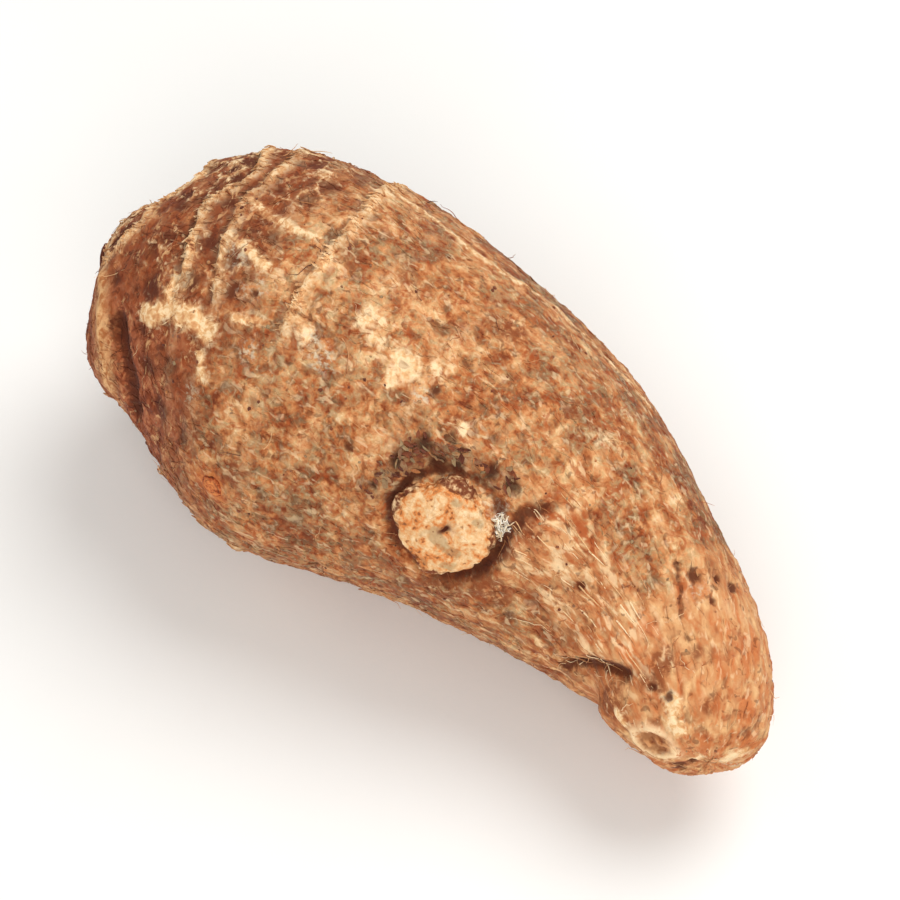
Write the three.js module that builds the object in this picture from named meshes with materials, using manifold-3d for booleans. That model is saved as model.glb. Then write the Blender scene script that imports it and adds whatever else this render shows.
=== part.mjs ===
// A taro root of the small kind, an eddoe: one corm grown in one piece.
//
// Millimetres, +Z up. The root lies on its belly with its crown, the ringed end that the leaves
// grew from, towards -X, and its neck, the narrow end that broke from the parent corm, towards
// +X. It curves gently towards -Y. The origin is on the surface that it rests on, in the middle
// of its footprint box.
//
// A place on the skin is given by its station, millimetres along the centre line from the crown,
// and its bearing, degrees around the centre line: 0 is the +Y side, 90 the top, 180 the -Y side.

import * as THREE from 'three';
import { mergeVertices } from 'three/addons/utils/BufferGeometryUtils.js';
import Module from 'manifold-3d';

const { degToRad } = THREE.MathUtils;

// ---- Driving dimensions -----------------------------------------------------------------------

// The centre line, from the middle of the crown to the end of the neck.
const CENTRE_LINE = new THREE.CubicBezierCurve3(
  new THREE.Vector3(-59.2, -9.5, 30.7),
  new THREE.Vector3(-37.8, 1, 32.7),
  new THREE.Vector3(31.4, 15, 20.7),
  new THREE.Vector3(57.3, -11, 18.4),
);

// The half profile: [station, radius]. It starts on the centre line in the dished middle of the
// crown, and ends on it in the dished scar at the end of the neck. Its first and last few points
// turn back, so a station is looked up only between them.
const PROFILE = [
  [1.6, 0], [1.2, 3], [0.1, 6.2], [1.2, 9.6], [3.4, 13.4], [7, 17.6], [12, 21.2], [18, 24.2],
  [26, 27.2], [35, 28.8], [45, 28.4], [56, 26.8], [67, 25], [78, 22.4], [89, 18.8], [98, 16],
  [106, 13.9], [113, 11.8], [118, 9.9], [120.8, 8.1], [121.7, 5.4], [121.3, 2.4], [121, 0],
];
const DISH_POINTS = 3;

// How finely the skin is divided, and how much closer its rows stand at the crown.
const ROWS = 84;
const COLUMNS = 54;
const CROWN_CROWDING = 1.4;

// The relief fades out towards both ends, where the profile is narrower than this.
const RELIEF_RADIUS = 12;

// The scars of the leaf sheaths ring the crown. Each is a low lip that falls off sharply on its
// crown side and fades towards the neck: [station, rise].
const SHEATH_LIPS = [[5.5, 0.8], [10, 0.9], [15, 0.9], [20.5, 0.8], [27, 0.6], [34.5, 0.5]];
const LIP_FADE = 3.2;
const LIP_EDGE = 0.7;

// The lips wander to and fro along the root: [millimetres, waves around the root, phase].
const LIP_WANDER = [[0.7, 2, 0.6], [0.4, 5, 0]];

// Shallow unevenness all over: [rise, waves around the root, millimetres of station per radian].
const UNEVENNESS = [[0.3, 3, 9], [0.2, 5, -6]];

// Broad swellings and hollows that make the root lopsided: rise in millimetres at its middle,
// reach along the root in millimetres and around it in degrees.
const SWELLINGS = [
  { station: 5, bearing: 90, rise: 1.8, along: 3, around: 15 }, // corner of the crown
  { station: 11, bearing: 62, rise: -1, along: 4, around: 14 }, // dip behind the corner
  { station: 20, bearing: 50, rise: 1.9, along: 7, around: 22 }, // shoulder of the crown
  { station: 13, bearing: 186, rise: -1.3, along: 7, around: 26 }, // hollow below the crown
  { station: 41, bearing: 204, rise: 1.7, along: 12, around: 26 }, // cheek above the hollow
  { station: 50, bearing: 42, rise: -0.7, along: 12, around: 26 }, // flat of the back
  { station: 73, bearing: 206, rise: -1.1, along: 9, around: 24 }, // waist
  { station: 71.5, bearing: 143, rise: 0.6, along: 10, around: 24 }, // collar of the stub
  { station: 84, bearing: 120, rise: 0.8, along: 7, around: 16 }, // ridge beyond the stub
  { station: 99, bearing: 188, rise: -0.7, along: 5, around: 26 }, // slope above the neck
  { station: 106.4, bearing: 186, rise: -2, along: 1.8, around: 24 }, // fold of the neck
  { station: 112, bearing: 182, rise: 1.2, along: 4, around: 30 }, // pad below the fold
];

// The side stub: the round stump of a small side shoot, in a groove with a raised collar.
const STUB = {
  station: 71.5, bearing: 143, radius: 7.9, stands: 2.1, edge: 1, root: 7,
  dimpleRadius: 1, dimpleDepth: 0.7, segments: 36,
};
const STUB_GROOVE = { radius: 9, width: 1.6, lift: 0.2, bend: 22, segments: 40, sides: 8 };

// A sleeping bud on the side of the crown, and the shoot bud in the crown's dished middle.
const SIDE_BUD = { station: 33.5, bearing: 174, radius: 2.5, height: 1.1, segments: 16 };
const SHOOT_BUD = { baseRadius: 4.6, tipRadius: 1.4, height: 0.8, root: 5, segments: 24 };

// The block below the root that cuts its resting spot flat.
const FLOOR_SIZE = 200;

const SKIN_COLOUR = 0xa87850;

// ---- Surface ----------------------------------------------------------------------------------

const UP = new THREE.Vector3(0, 0, 1);
const LENGTH = PROFILE.reduce((longest, [station]) => Math.max(longest, station), 0);
const profileCurve = new THREE.SplineCurve(PROFILE.map(([s, r]) => new THREE.Vector2(s, r)));

/** A smooth hump of height 1 that is `reach` wide to either side. */
const hump = (offset, reach) => Math.exp(-0.5 * (offset / reach) ** 2);

/** The difference of two bearings, from -180 to 180. */
const turn = (a, b) => THREE.MathUtils.euclideanModulo(a - b + 180, 360) - 180;

/** The centre line's point and its three directions at a station. */
function frameAt(station) {
  const along = THREE.MathUtils.clamp(station / LENGTH, 0, 1);
  const centre = CENTRE_LINE.getPointAt(along);
  const forward = CENTRE_LINE.getTangentAt(along);
  const side = new THREE.Vector3().crossVectors(UP, forward).normalize();
  const over = new THREE.Vector3().crossVectors(forward, side);
  return { centre, forward, side, over };
}

/** How far the skin stands above the plain profile at a station and bearing. */
function relief(station, bearing) {
  let rise = 0;
  for (const swelling of SWELLINGS) {
    rise += swelling.rise * hump(station - swelling.station, swelling.along)
      * hump(turn(bearing, swelling.bearing), swelling.around);
  }
  const angle = degToRad(bearing);
  const wander = LIP_WANDER.reduce(
    (sum, [shift, waves, phase]) => sum + shift * Math.sin(waves * angle + phase), 0);
  for (const [place, height] of SHEATH_LIPS) {
    const past = station - place - wander;
    rise += height * (past < 0 ? hump(past, LIP_EDGE) : Math.exp(-past / LIP_FADE));
  }
  for (const [height, waves, stretch] of UNEVENNESS) {
    rise += height * Math.sin(waves * angle + station / stretch);
  }
  return rise;
}

/** A point of the skin, given where it is on the profile, from 0 at the crown to 1. */
function skinPointOnProfile(fraction, bearing) {
  const { x: station, y: radius } = profileCurve.getPoint(fraction);
  const { centre, side, over } = frameAt(station);
  const fade = Math.min(1, radius / RELIEF_RADIUS);
  const reach = radius + relief(station, bearing) * fade;
  const angle = degToRad(bearing);
  return centre.addScaledVector(side, reach * Math.cos(angle))
    .addScaledVector(over, reach * Math.sin(angle));
}

/** Where on the profile a station lies, found by halving. */
function fractionAt(station) {
  let low = DISH_POINTS / (PROFILE.length - 1);
  let high = 1 - low;
  for (let step = 0; step < 40; step += 1) {
    const middle = (low + high) / 2;
    if (profileCurve.getPoint(middle).x < station) low = middle;
    else high = middle;
  }
  return low;
}

// How far to each side the slope of the skin is taken: of the profile, and in degrees.
const SEAT_SPAN = { along: 0.02, around: 6 };

/** The place on the skin at a station and bearing, as a matrix whose +Z points outwards. */
function seatOn({ station, bearing }) {
  const fraction = fractionAt(station);
  const { along, around } = SEAT_SPAN;
  const point = skinPointOnProfile(fraction, bearing);
  const alongRoot = skinPointOnProfile(fraction + along, bearing)
    .sub(skinPointOnProfile(fraction - along, bearing)).normalize();
  const aroundRoot = skinPointOnProfile(fraction, bearing + around)
    .sub(skinPointOnProfile(fraction, bearing - around)).normalize();
  const outwards = new THREE.Vector3().crossVectors(aroundRoot, alongRoot).normalize();
  const across = new THREE.Vector3().crossVectors(outwards, alongRoot);
  return new THREE.Matrix4().makeBasis(alongRoot, across, outwards).setPosition(point);
}

// ---- Solids -----------------------------------------------------------------------------------

const wasm = await Module();
wasm.setup();

/** A closed geometry as a solid that can be joined and cut. */
function toSolid(geometry) {
  geometry.deleteAttribute('normal');
  geometry.deleteAttribute('uv');
  const merged = mergeVertices(geometry, 1e-5);
  return new wasm.Manifold(new wasm.Mesh({
    numProp: 3,
    vertProperties: new Float32Array(merged.attributes.position.array),
    triVerts: new Uint32Array(merged.index.array),
  }));
}

/** A solid as a geometry. */
function toGeometry(solid) {
  const { vertProperties, triVerts } = solid.getMesh();
  const geometry = new THREE.BufferGeometry();
  geometry.setAttribute('position', new THREE.BufferAttribute(vertProperties, 3));
  geometry.setIndex(new THREE.BufferAttribute(triVerts, 1));
  geometry.computeVertexNormals();
  return geometry;
}

/** A round form turned about +Z from a profile of [radius, height] pairs, moved to its seat. */
function turned(pairs, segments, seat) {
  const lathe = new THREE.LatheGeometry(pairs.map(([r, h]) => new THREE.Vector2(r, h)), segments);
  return toSolid(lathe.rotateX(Math.PI / 2).applyMatrix4(seat));
}

/** The root's body: a ball whose grid is laid onto the skin, from the crown to the neck. */
function makeBody() {
  const ball = new THREE.SphereGeometry(1, COLUMNS, ROWS);
  const { position, uv } = ball.attributes;
  for (let i = 0; i < position.count; i += 1) {
    const fraction = THREE.MathUtils.clamp(1 - uv.getY(i), 0, 1) ** CROWN_CROWDING;
    const column = Math.round(uv.getX(i) * COLUMNS) % COLUMNS;
    const point = skinPointOnProfile(fraction, 360 * (1 - column / COLUMNS));
    position.setXYZ(i, point.x, point.y, point.z);
  }
  return toSolid(ball);
}

/** The stump of the side shoot, with a dimple in its face. */
function makeStub(seat) {
  const { radius, stands, edge, root, dimpleRadius, dimpleDepth, segments } = STUB;
  return turned([
    [0, -root],
    [radius - edge, -root],
    [radius, stands - edge],
    [radius - 0.3 * edge, stands - 0.3 * edge],
    [radius - edge, stands],
    [dimpleRadius, stands],
    [0, stands - dimpleDepth],
  ], segments, seat);
}

/** The groove around the stump: a ring bent over the root's roundness. */
function makeGroove(seat) {
  const { radius, width, lift, bend, segments, sides } = STUB_GROOVE;
  const ring = new THREE.TorusGeometry(radius, width, sides, segments);
  const { position } = ring.attributes;
  for (let i = 0; i < position.count; i += 1) {
    const drop = position.getY(i) ** 2 / (2 * bend);
    position.setZ(i, position.getZ(i) + lift - drop);
  }
  return toSolid(ring.applyMatrix4(seat));
}

/** The bud on the side of the crown: a low round pimple. */
function makeSideBud() {
  const { radius, height, segments } = SIDE_BUD;
  const ball = new THREE.SphereGeometry(1, segments, segments / 2);
  ball.scale(radius, radius, 2 * height).translate(0, 0, -height);
  return toSolid(ball.applyMatrix4(seatOn(SIDE_BUD)));
}

/** The shoot bud: a blunt cone that just clears the rim around it. */
function makeShootBud() {
  const { baseRadius, tipRadius, height, root, segments } = SHOOT_BUD;
  const { centre, forward, side, over } = frameAt(0);
  const seat = new THREE.Matrix4().makeBasis(side, over.negate(), forward.negate());
  seat.setPosition(centre);
  return turned([
    [0, -root],
    [baseRadius, -root],
    [baseRadius, -0.8 * height],
    [0.75 * baseRadius, 0.2 * height],
    [tipRadius, 0.9 * height],
    [0, height],
  ], segments, seat);
}

/** Everything below the surface that the root rests on. */
function makeFloor() {
  const block = new THREE.BoxGeometry(FLOOR_SIZE, FLOOR_SIZE, FLOOR_SIZE);
  return toSolid(block.translate(0, 0, -FLOOR_SIZE / 2));
}

const stubSeat = seatOn(STUB);
const rootSolid = makeBody()
  .subtract(makeGroove(stubSeat))
  .add(makeStub(stubSeat))
  .add(makeSideBud())
  .add(makeShootBud())
  .subtract(makeFloor());

// ---- Scene graph ------------------------------------------------------------------------------

const corm = new THREE.Mesh(
  toGeometry(rootSolid),
  new THREE.MeshStandardMaterial({ color: SKIN_COLOUR, roughness: 0.9, metalness: 0 }),
);
corm.name = 'taro_corm';

const root = new THREE.Group();
root.add(corm);

export default root;
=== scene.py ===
"""A taro root of the small kind, an eddoe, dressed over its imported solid.

The root lies on its belly with its ringed crown towards -X and its neck towards +X. The skin is
shaped in millimetres, and every mesh is made in metres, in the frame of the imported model. A place
on the skin has a station, millimetres along the centre line from the crown, and a bearing,
degrees round the centre line: 0 is the +Y side, 90 the top, 180 the -Y side.
"""

from __future__ import annotations

import logging
import math
import sys
from collections.abc import Sequence
from dataclasses import dataclass, field
from enum import Enum
from functools import partial, reduce
from itertools import count

import bpy
import bmesh
import numpy as np
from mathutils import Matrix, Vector
from mathutils.bvhtree import BVHTree


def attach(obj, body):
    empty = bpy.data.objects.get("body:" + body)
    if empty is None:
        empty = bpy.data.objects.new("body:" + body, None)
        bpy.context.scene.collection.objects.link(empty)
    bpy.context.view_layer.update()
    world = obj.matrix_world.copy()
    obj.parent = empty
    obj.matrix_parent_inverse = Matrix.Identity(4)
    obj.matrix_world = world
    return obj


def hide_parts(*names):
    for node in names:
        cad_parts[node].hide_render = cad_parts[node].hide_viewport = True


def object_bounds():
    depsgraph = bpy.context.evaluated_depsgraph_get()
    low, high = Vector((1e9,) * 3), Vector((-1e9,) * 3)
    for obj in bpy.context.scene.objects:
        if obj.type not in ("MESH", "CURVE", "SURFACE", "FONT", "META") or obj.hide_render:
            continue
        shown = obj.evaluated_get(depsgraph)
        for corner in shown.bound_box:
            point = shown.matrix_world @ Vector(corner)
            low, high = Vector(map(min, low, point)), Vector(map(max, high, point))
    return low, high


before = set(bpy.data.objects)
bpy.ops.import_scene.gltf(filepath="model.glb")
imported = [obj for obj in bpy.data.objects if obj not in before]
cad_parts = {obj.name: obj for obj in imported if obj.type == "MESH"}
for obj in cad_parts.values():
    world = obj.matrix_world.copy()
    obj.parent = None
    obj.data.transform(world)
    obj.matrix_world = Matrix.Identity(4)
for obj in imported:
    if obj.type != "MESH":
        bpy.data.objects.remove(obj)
CAD_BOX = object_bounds()

NODE = "taro_corm"
BODY = "root"
MM = 0.001
FAR = 99.0
NUDGE = 1e-3
RING_BLUR = 9.0
DUST_ROUGHNESS = 0.6

Triple = tuple[float, float, float]
Place = tuple[float, float]
Line = tuple[Place, ...]
Spot = tuple[Place, float]
Span = tuple[float, float]
Array = np.ndarray
Object = bpy.types.Object
Material = bpy.types.Material
Node = bpy.types.Node
Socket = bpy.types.NodeSocket
Inputs = dict[str | int, object]
Coat = tuple[object, ...]

made = partial(field, init=False, repr=False)
log = logging.getLogger("taro")


# ---- Small helpers ----


def smoothstep(values: Array, low: float, high: float) -> Array:
    """A smooth step from 0 at `low` to 1 at `high`, which may be the smaller one."""
    part = np.clip((values - low) / (high - low), 0.0, 1.0)
    return part * part * (3.0 - 2.0 * part)


def hump(offset: Array, reach: float) -> Array:
    """A smooth hump of height 1 that is `reach` wide to either side."""
    return np.exp(-0.5 * (offset / reach) ** 2)


def turn(bearing: Array, other: float) -> Array:
    """The difference of two bearings, from -180 to 180 degrees."""
    return (bearing - other + 180.0) % 360.0 - 180.0


def unit(vectors: Array) -> Array:
    """The vectors at length 1."""
    return vectors / np.maximum(np.linalg.norm(vectors, axis=-1, keepdims=True), 1e-9)


def dot(first: Array, second: Array) -> Array:
    """The scalar products of two rows of vectors."""
    return np.einsum("...i,...i->...", first, second)


def tint(red: int, green: int, blue: int) -> tuple[float, float, float, float]:
    """A colour given as on a screen, 0 to 255, in the linear numbers that shaders take."""
    parts = [c / 255 for c in (red, green, blue)]
    return (*(c / 12.92 if c <= 0.04045 else ((c + 0.055) / 1.055) ** 2.4 for c in parts), 1.0)


def make_piece(name: str, points: Array, faces: Sequence[Sequence[int]]) -> Object:
    """Makes a smooth mesh object.

    Args:
        name: The piece's name.
        points: Its corners, in millimetres.
        faces: Its faces, as corner numbers that run anticlockwise seen from outside.

    Returns:
        The object, linked to the scene.
    """
    mesh = bpy.data.meshes.new(name)
    mesh.from_pydata((points * MM).tolist(), [], faces)
    mesh.shade_smooth()
    mesh.update()
    piece = bpy.data.objects.new(name, mesh)
    bpy.context.scene.collection.objects.link(piece)
    return piece


def note_mask(piece: Object, name: str, values: Array) -> None:
    """Writes a number, or a vector, for each corner of a piece.

    Args:
        piece: The piece.
        name: The name it is kept under.
        values: A row for each corner.
    """
    kind, key = ("FLOAT_VECTOR", "vector") if values.ndim == 2 else ("FLOAT", "value")
    layer = piece.data.attributes.new(name, kind, "POINT").data
    layer.foreach_set(key, values.astype(np.float32).ravel())


def hand_over(piece: Object) -> int:
    """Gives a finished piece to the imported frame.

    Args:
        piece: A mesh object at the origin.

    Returns:
        How many triangles it has.
    """
    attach(piece, BODY)
    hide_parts(NODE)
    piece.data.calc_loop_triangles()
    return len(piece.data.loop_triangles)


# ---- Noise ----


@dataclass
class Noise:
    """Smooth and cellular noise in space, the same on every run.

    Its tables have `entries` rows. `gain` stretches the smooth noise to about -1 to 1, and
    `sharpness` says how narrow the ridges are.
    """

    seed: int
    entries: int = 256
    gain: float = 1.7
    sharpness: float = 2.4
    layer_shift: float = 31.7
    jitter_limits: Span = (0.1, 0.9)
    order: Array = made()
    slopes: Array = made()
    jitter: Array = made()

    def __post_init__(self) -> None:
        """Draws the tables from the seed."""
        draw = np.random.default_rng(self.seed)
        self.order = draw.permutation(self.entries)
        self.slopes = unit(draw.normal(size=(self.entries, 3)))
        self.jitter = draw.uniform(*self.jitter_limits, size=(self.entries, 4))

    def _entry(self, number: Array) -> Array:
        """The row that the shuffled table holds for whole numbers."""
        return self.order[number % self.entries]

    def _corner(self, cell: Array) -> Array:
        """The row of each cell, from its three whole numbers."""
        x, y, z = cell.T
        return self._entry(self._entry(self._entry(x) + y) + z)

    def smooth(self, points: Array, size: float) -> Array:
        """Smooth noise.

        Args:
            points: Where to take it, in millimetres.
            size: How far apart its lumps are, in millimetres.

        Returns:
            Values from about -1 to 1.
        """
        place = points / size
        cell = np.floor(place).astype(np.int64)
        part = place - cell
        ease = part**3 * (part * (part * 6.0 - 15.0) + 10.0)
        total = np.zeros(len(points))
        for corner in np.ndindex(2, 2, 2):
            step = np.array(corner)
            weight = np.prod(np.where(step == 1, ease, 1.0 - ease), axis=1)
            total += weight * dot(self.slopes[self._corner(cell + step)], part - step)
        return total * self.gain

    def layered(self, points: Array, size: float, layers: int, fade: float = 0.5) -> Array:
        """Smooth noise with finer noise on it.

        Args:
            points: Where to take it, in millimetres.
            size: How far apart its largest lumps are.
            layers: How many layers there are, each half the size of the last.
            fade: How strong each layer is against the last.

        Returns:
            Values from about -1 to 1.
        """
        total = np.zeros(len(points))
        for layer in range(layers):
            total += fade**layer * self.smooth(points + self.layer_shift * layer, size / 2**layer)
        return total

    def ridged(self, points: Array, size: float) -> Array:
        """Noise with narrow ridges of height 1 between broad hollows of 0."""
        return 1.0 - np.clip(np.abs(self.smooth(points, size)) * self.sharpness, 0.0, 1.0)

    def cells(self, points: Array, size: float) -> tuple[Array, Array, Array, Array]:
        """Splits space into uneven cells.

        Args:
            points: Where to look, in millimetres.
            size: How big a cell is.

        Returns:
            The distance to the nearest seed, how much further the second one is, both in
            millimetres, a number from 0 to 1 that each cell has for itself, and how far the
            point lies down the cell's own slope, in millimetres.
        """
        place = points / size
        cell = np.floor(place).astype(np.int64)
        part = place - cell
        first, second = np.full(len(points), FAR), np.full(len(points), FAR)
        tone, slope = np.zeros(len(points)), np.zeros(len(points))
        for corner in np.ndindex(3, 3, 3):
            step = np.array(corner) - 1
            number = self._corner(cell + step)
            entry = self.jitter[number]
            miss = step + entry[:, :3] - part
            away = np.linalg.norm(miss, axis=1)
            nearer = away < first
            second = np.where(nearer, first, np.minimum(second, away))
            tone = np.where(nearer, entry[:, 3], tone)
            slope = np.where(nearer, dot(miss, self.slopes[number]), slope)
            first = np.where(nearer, away, first)
        low, high = self.jitter_limits
        return first * size, (second - first) * size, (tone - low) / (high - low), slope * size


# ---- The centre line ----


@dataclass
class CentreLine:
    """The bent line through the middle of the root, in millimetres."""

    crown: Triple = (-59.2, -9.5, 30.7)
    crown_arm: Triple = (-37.8, 1.0, 32.7)
    neck_arm: Triple = (31.4, 15.0, 20.7)
    neck: Triple = (57.3, -11.0, 18.4)
    last_station: float = 121.7
    steps: int = 2000
    passes: int = 40
    stride: float = 0.5
    parts: Array = made()
    walked: Array = made()

    def __post_init__(self) -> None:
        """Measures the line."""
        self.parts = np.linspace(0.0, 1.0, self.steps)
        legs = np.linalg.norm(np.diff(self._point(self.parts), axis=0), axis=1)
        self.walked = np.concatenate([[0.0], np.cumsum(legs)])
        self.walked *= self.last_station / self.walked[-1]

    def _point(self, part: Array) -> Array:
        """The line's points.

        Args:
            part: How far along the line's curve, from 0 to 1.

        Returns:
            The points, in millimetres.
        """
        t = part[:, None]
        ends = [np.array(p) for p in (self.crown, self.crown_arm, self.neck_arm, self.neck)]
        return (
            (1 - t) ** 3 * ends[0]
            + 3 * (1 - t) ** 2 * t * ends[1]
            + 3 * (1 - t) * t**2 * ends[2]
            + t**3 * ends[3]
        )

    def frames(self, station: Array) -> tuple[Array, Array, Array, Array]:
        """The line's points and directions.

        Args:
            station: Stations, which may lie a little beyond the ends.

        Returns:
            The centres, and the directions forward, to the side and over.
        """
        held = np.clip(station, 0.0, self.last_station)
        part = np.interp(held, self.walked, self.parts)
        low, high = np.clip(part - NUDGE, 0, 1), np.clip(part + NUDGE, 0, 1)
        forward = unit(self._point(high) - self._point(low))
        centre = self._point(part) + forward * (station - held)[:, None]
        side = unit(np.cross(np.array([0.0, 0.0, 1.0]), forward))
        return centre, forward, side, np.cross(forward, side)

    def place(self, points: Array, guess: Array) -> tuple[Array, Array, Array]:
        """Finds the stations and bearings of points.

        Args:
            points: The points, in millimetres.
            guess: Stations near theirs.

        Returns:
            Their stations, bearings and distances from the centre line.
        """
        station = guess.astype(float).copy()
        for _ in range(self.passes):
            centre, forward, side, over = self.frames(station)
            station += self.stride * dot(points - centre, forward)
        away = points - centre
        across, up = dot(away, side), dot(away, over)
        return station, np.degrees(np.arctan2(up, across)) % 360.0, np.hypot(across, up)


# ---- The skin ----


@dataclass(frozen=True)
class Lip:
    """The torn edge of one leaf sheath, a ring round the root that looks towards the crown.

    The stops are (bearing, station) pairs round the ring, in order of bearing. It stands up by
    `rise` over a groove that is `gap` deep, and `torn` says how patchy it is, from 0 to 1.
    """

    stops: Line
    rise: float
    gap: float
    torn: float
    seed: int

    def stations(self, bearing: Array) -> Array:
        """The ring's station at each bearing, smoothed between its stops.

        Args:
            bearing: The bearings, in degrees.

        Returns:
            The stations, in millimetres.
        """
        turns = np.array([b for b, _ in self.stops])
        places = np.array([s for _, s in self.stops])
        total, weights = np.zeros_like(bearing), np.zeros_like(bearing)
        for shift in np.linspace(-RING_BLUR, RING_BLUR, 7):
            weight = float(hump(np.array(shift), 5.0))
            total += weight * np.interp(bearing + shift, turns, places, period=360.0)
            weights += weight
        return total / weights


@dataclass(frozen=True)
class Cut:
    """A crack or crease that runs over the skin through (station, bearing) stops.

    Beside it the skin rises by `edge` on its right and by `lip` on its left, in millimetres.
    """

    stops: Line
    width: float
    depth: float
    edge: float
    lip: float = 0.0


LIPS = (
    Lip(((20, 3), (80, 1.6), (140, 2), (200, 2.6), (270, 2.4), (330, 2.8)), 0.15, 0.1, 0.4, 11),
    Lip(
        ((20, 8), (50, 10.5), (70, 10.2), (77, 7.6), (89, 6.7), (99, 6.4), (109, 5), (121, 2.6),
         (140, 4), (173, 6.4), (200, 8), (260, 8), (310, 6.5)),
        1, 0.95, 0.1, 12,
    ),
    Lip(
        ((20, 13), (50, 17), (70, 18.6), (80, 16), (86, 14.5), (97, 14.8), (108, 15.8), (125, 17.5),
         (150, 20), (183, 22), (220, 18), (270, 13.5), (320, 12)),
        0.75, 0.5, 0.2, 13,
    ),
    Lip(
        ((20, 19), (50, 21.5), (73, 21.3), (80, 19.2), (92, 19.8), (110, 21.5), (135, 24), (165, 26),
         (190, 26), (230, 23), (280, 18.5), (330, 17.5)),
        0.6, 0.4, 0.4, 14,
    ),
    Lip(
        ((20, 26.5), (60, 27), (90, 26), (115, 27.5), (150, 30.5), (190, 31), (240, 28), (300, 24.5)),
        0.3, 0.2, 0.8, 15,
    ),
    Lip(
        ((20, 34), (58, 33.9), (79, 35), (88, 35.3), (96, 34.7), (104, 33.9), (115, 34.3), (145, 37),
         (190, 38), (240, 35), (300, 32)),
        0.65, 0.25, 0.15, 16,
    ),
    Lip(((20, 45), (80, 43), (140, 46), (200, 49), (260, 45), (320, 42)), 0.2, 0.12, 0.9, 17),
    Lip(((30, 57), (100, 55), (160, 60), (220, 61), (300, 55)), 0.16, 0.1, 0.95, 18),
)

# Each vein has a line, a width and a strength. A spot, as in the tables below, has a place and a size.
VEINS = (
    (((20.7, 83), (24, 88), (28.3, 90), (32.2, 89)), 0.6, 0.6),
    (((13.4, 134), (16.2, 129.5), (20.9, 127.5), (23.6, 129)), 1.35, 1.1),
    (((16, 118), (16.3, 126)), 0.9, 0.8),
    (((24.3, 136), (26.2, 143)), 0.6, 0.9),
    (((23, 100), (28.1, 104)), 0.6, 0.9),
    (((27.3, 122), (29.5, 121), (31.1, 119)), 0.5, 0.8),
    (
        ((36.6, 53), (42.6, 53), (47.7, 56), (53.1, 54), (57.8, 50), (61.2, 44), (71.4, 41), (78.2, 36)),
        0.5, 0.66,
    ),
    (((116.4, 120), (117.6, 118), (119.3, 122), (120.6, 124)), 0.75, 1.2),
    (((113.7, 160), (115.8, 163)), 0.45, 1),
)

RIM: Line = ((2.8, 121), (3.5, 128), (4.4, 140), (5.5, 154), (6.6, 173), (7, 200))
SCALE: Line = ((58.9, 144), (60, 134), (62.4, 125), (66.5, 121), (71.9, 118), (77, 117))
RIDGE: Line = ((82, 134), (81.8, 124), (83.6, 113), (86.3, 110), (90, 112))
FAN: Line = ((82.5, 126), (92, 130), (106, 135))
FOLD_BED: Line = ((101, 170), (106, 156), (111, 145))

# The furrow is painted dark as shade; its last stops run on into painted shadow along the crown's edge.
FURROW = Cut(((6.9, 134), (8.3, 145), (10.3, 157), (11.8, 168), (12.8, 182), (13.2, 196)), 2.6, 1.3, 0.2)
STUB_CRACK = Cut(
    ((72.5, 170), (76.8, 157), (79.3, 148), (80.2, 141), (80, 133), (80.6, 122), (82.4, 113),
     (85.2, 109)),
    1.7, 1.1, 0.5,
)
NECK_FOLD = Cut(
    ((98.5, 176), (101.4, 163), (105.3, 150), (108, 142), (111.2, 137)), 1.9, 1.5, -0.35, 0.6,
)
NECK_CREASE = Cut(((97.5, 80), (101.5, 83.5), (107, 94)), 0.7, 0.4, 0.12)

# Root pits; the last three, under the tip, are painted shadow.
PITS_AND_SHADE = (
    ((101.4, 74), 0.8), ((102.8, 59.5), 0.6), ((104.2, 48.5), 0.72), ((105.5, 69), 0.45),
    ((93.7, 127), 0.5), ((99.6, 177), 0.7), ((58.3, 109), 0.55), ((113.7, 128), 0.5),
    ((116.2, 119.5), 0.55), ((121.6, 195), 0.9), ((121.4, 182), 0.6), ((121.7, 215), 0.7),
)

# Near-black spots on and beside the torn scale: partly its own dark colour, partly painted shade beside the
# stub.
DARK_SPOTS_AND_SHADE = (
    ((59.8, 133), 1), ((62, 124), 1.2), ((65.1, 126.5), 1.1), ((68, 124), 1),
    ((65, 118.5), 0.8), ((58.6, 144), 0.7), ((72.4, 118.5), 0.9), ((76.2, 117.5), 1),
)

BARE = (
    ((45, 103), 1.6), ((47.5, 107), 1.6), ((52.8, 108), 2.2), ((52.1, 113), 1.3), ((37.7, 116), 0.9),
    ((38.8, 119), 0.8), ((34.1, 58), 1.4), ((80, 77), 1.2), ((65.3, 114), 0.9), ((57, 104), 1),
    ((121.5, 17), 1.6), ((117, 118.5), 0.7), ((121.3, 139), 0.4),
)

# Brown stains; the spots at (83, 156), (76, 168), (70.6, 173) and (66, 171), below the stub, are painted
# shadow.
STAINS_AND_SHADE = (
    ((60, 76), 2.4), ((46.2, 86), 1.6), ((37.9, 92), 1.4), ((26.7, 95), 1.8), ((50, 122), 1.2),
    ((75, 78), 1.5), ((36.5, 165), 1.8), ((12.4, 124), 1.4), ((18.6, 117), 1.6), ((110.4, 113), 2.2),
    ((110.5, 163), 3), ((114.8, 123), 0.8), ((112.5, 130), 0.8), ((111, 89), 1), ((118.6, 93), 1),
    ((83, 156), 3), ((76, 168), 3), ((17, 150), 2.5), ((11.5, 88), 1.4), ((17.2, 87), 1.2),
    ((77.8, 158), 1.5), ((80.2, 147), 1.8), ((81.2, 136), 1.8), ((82.6, 126), 1.3), ((70.6, 173), 1.3),
    ((66, 171), 1),
)

BLOOM = (
    ((27.8, 112), 1.8), ((22.8, 103), 1.6), ((25.3, 150), 1.1), ((31, 128), 1.4), ((40, 118), 1.8),
    ((42.8, 121), 1.6), ((57.5, 113), 1.2), ((76.8, 126.5), 1.3), ((103.4, 77), 0.9), ((121.2, 335), 1.6),
)

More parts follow.
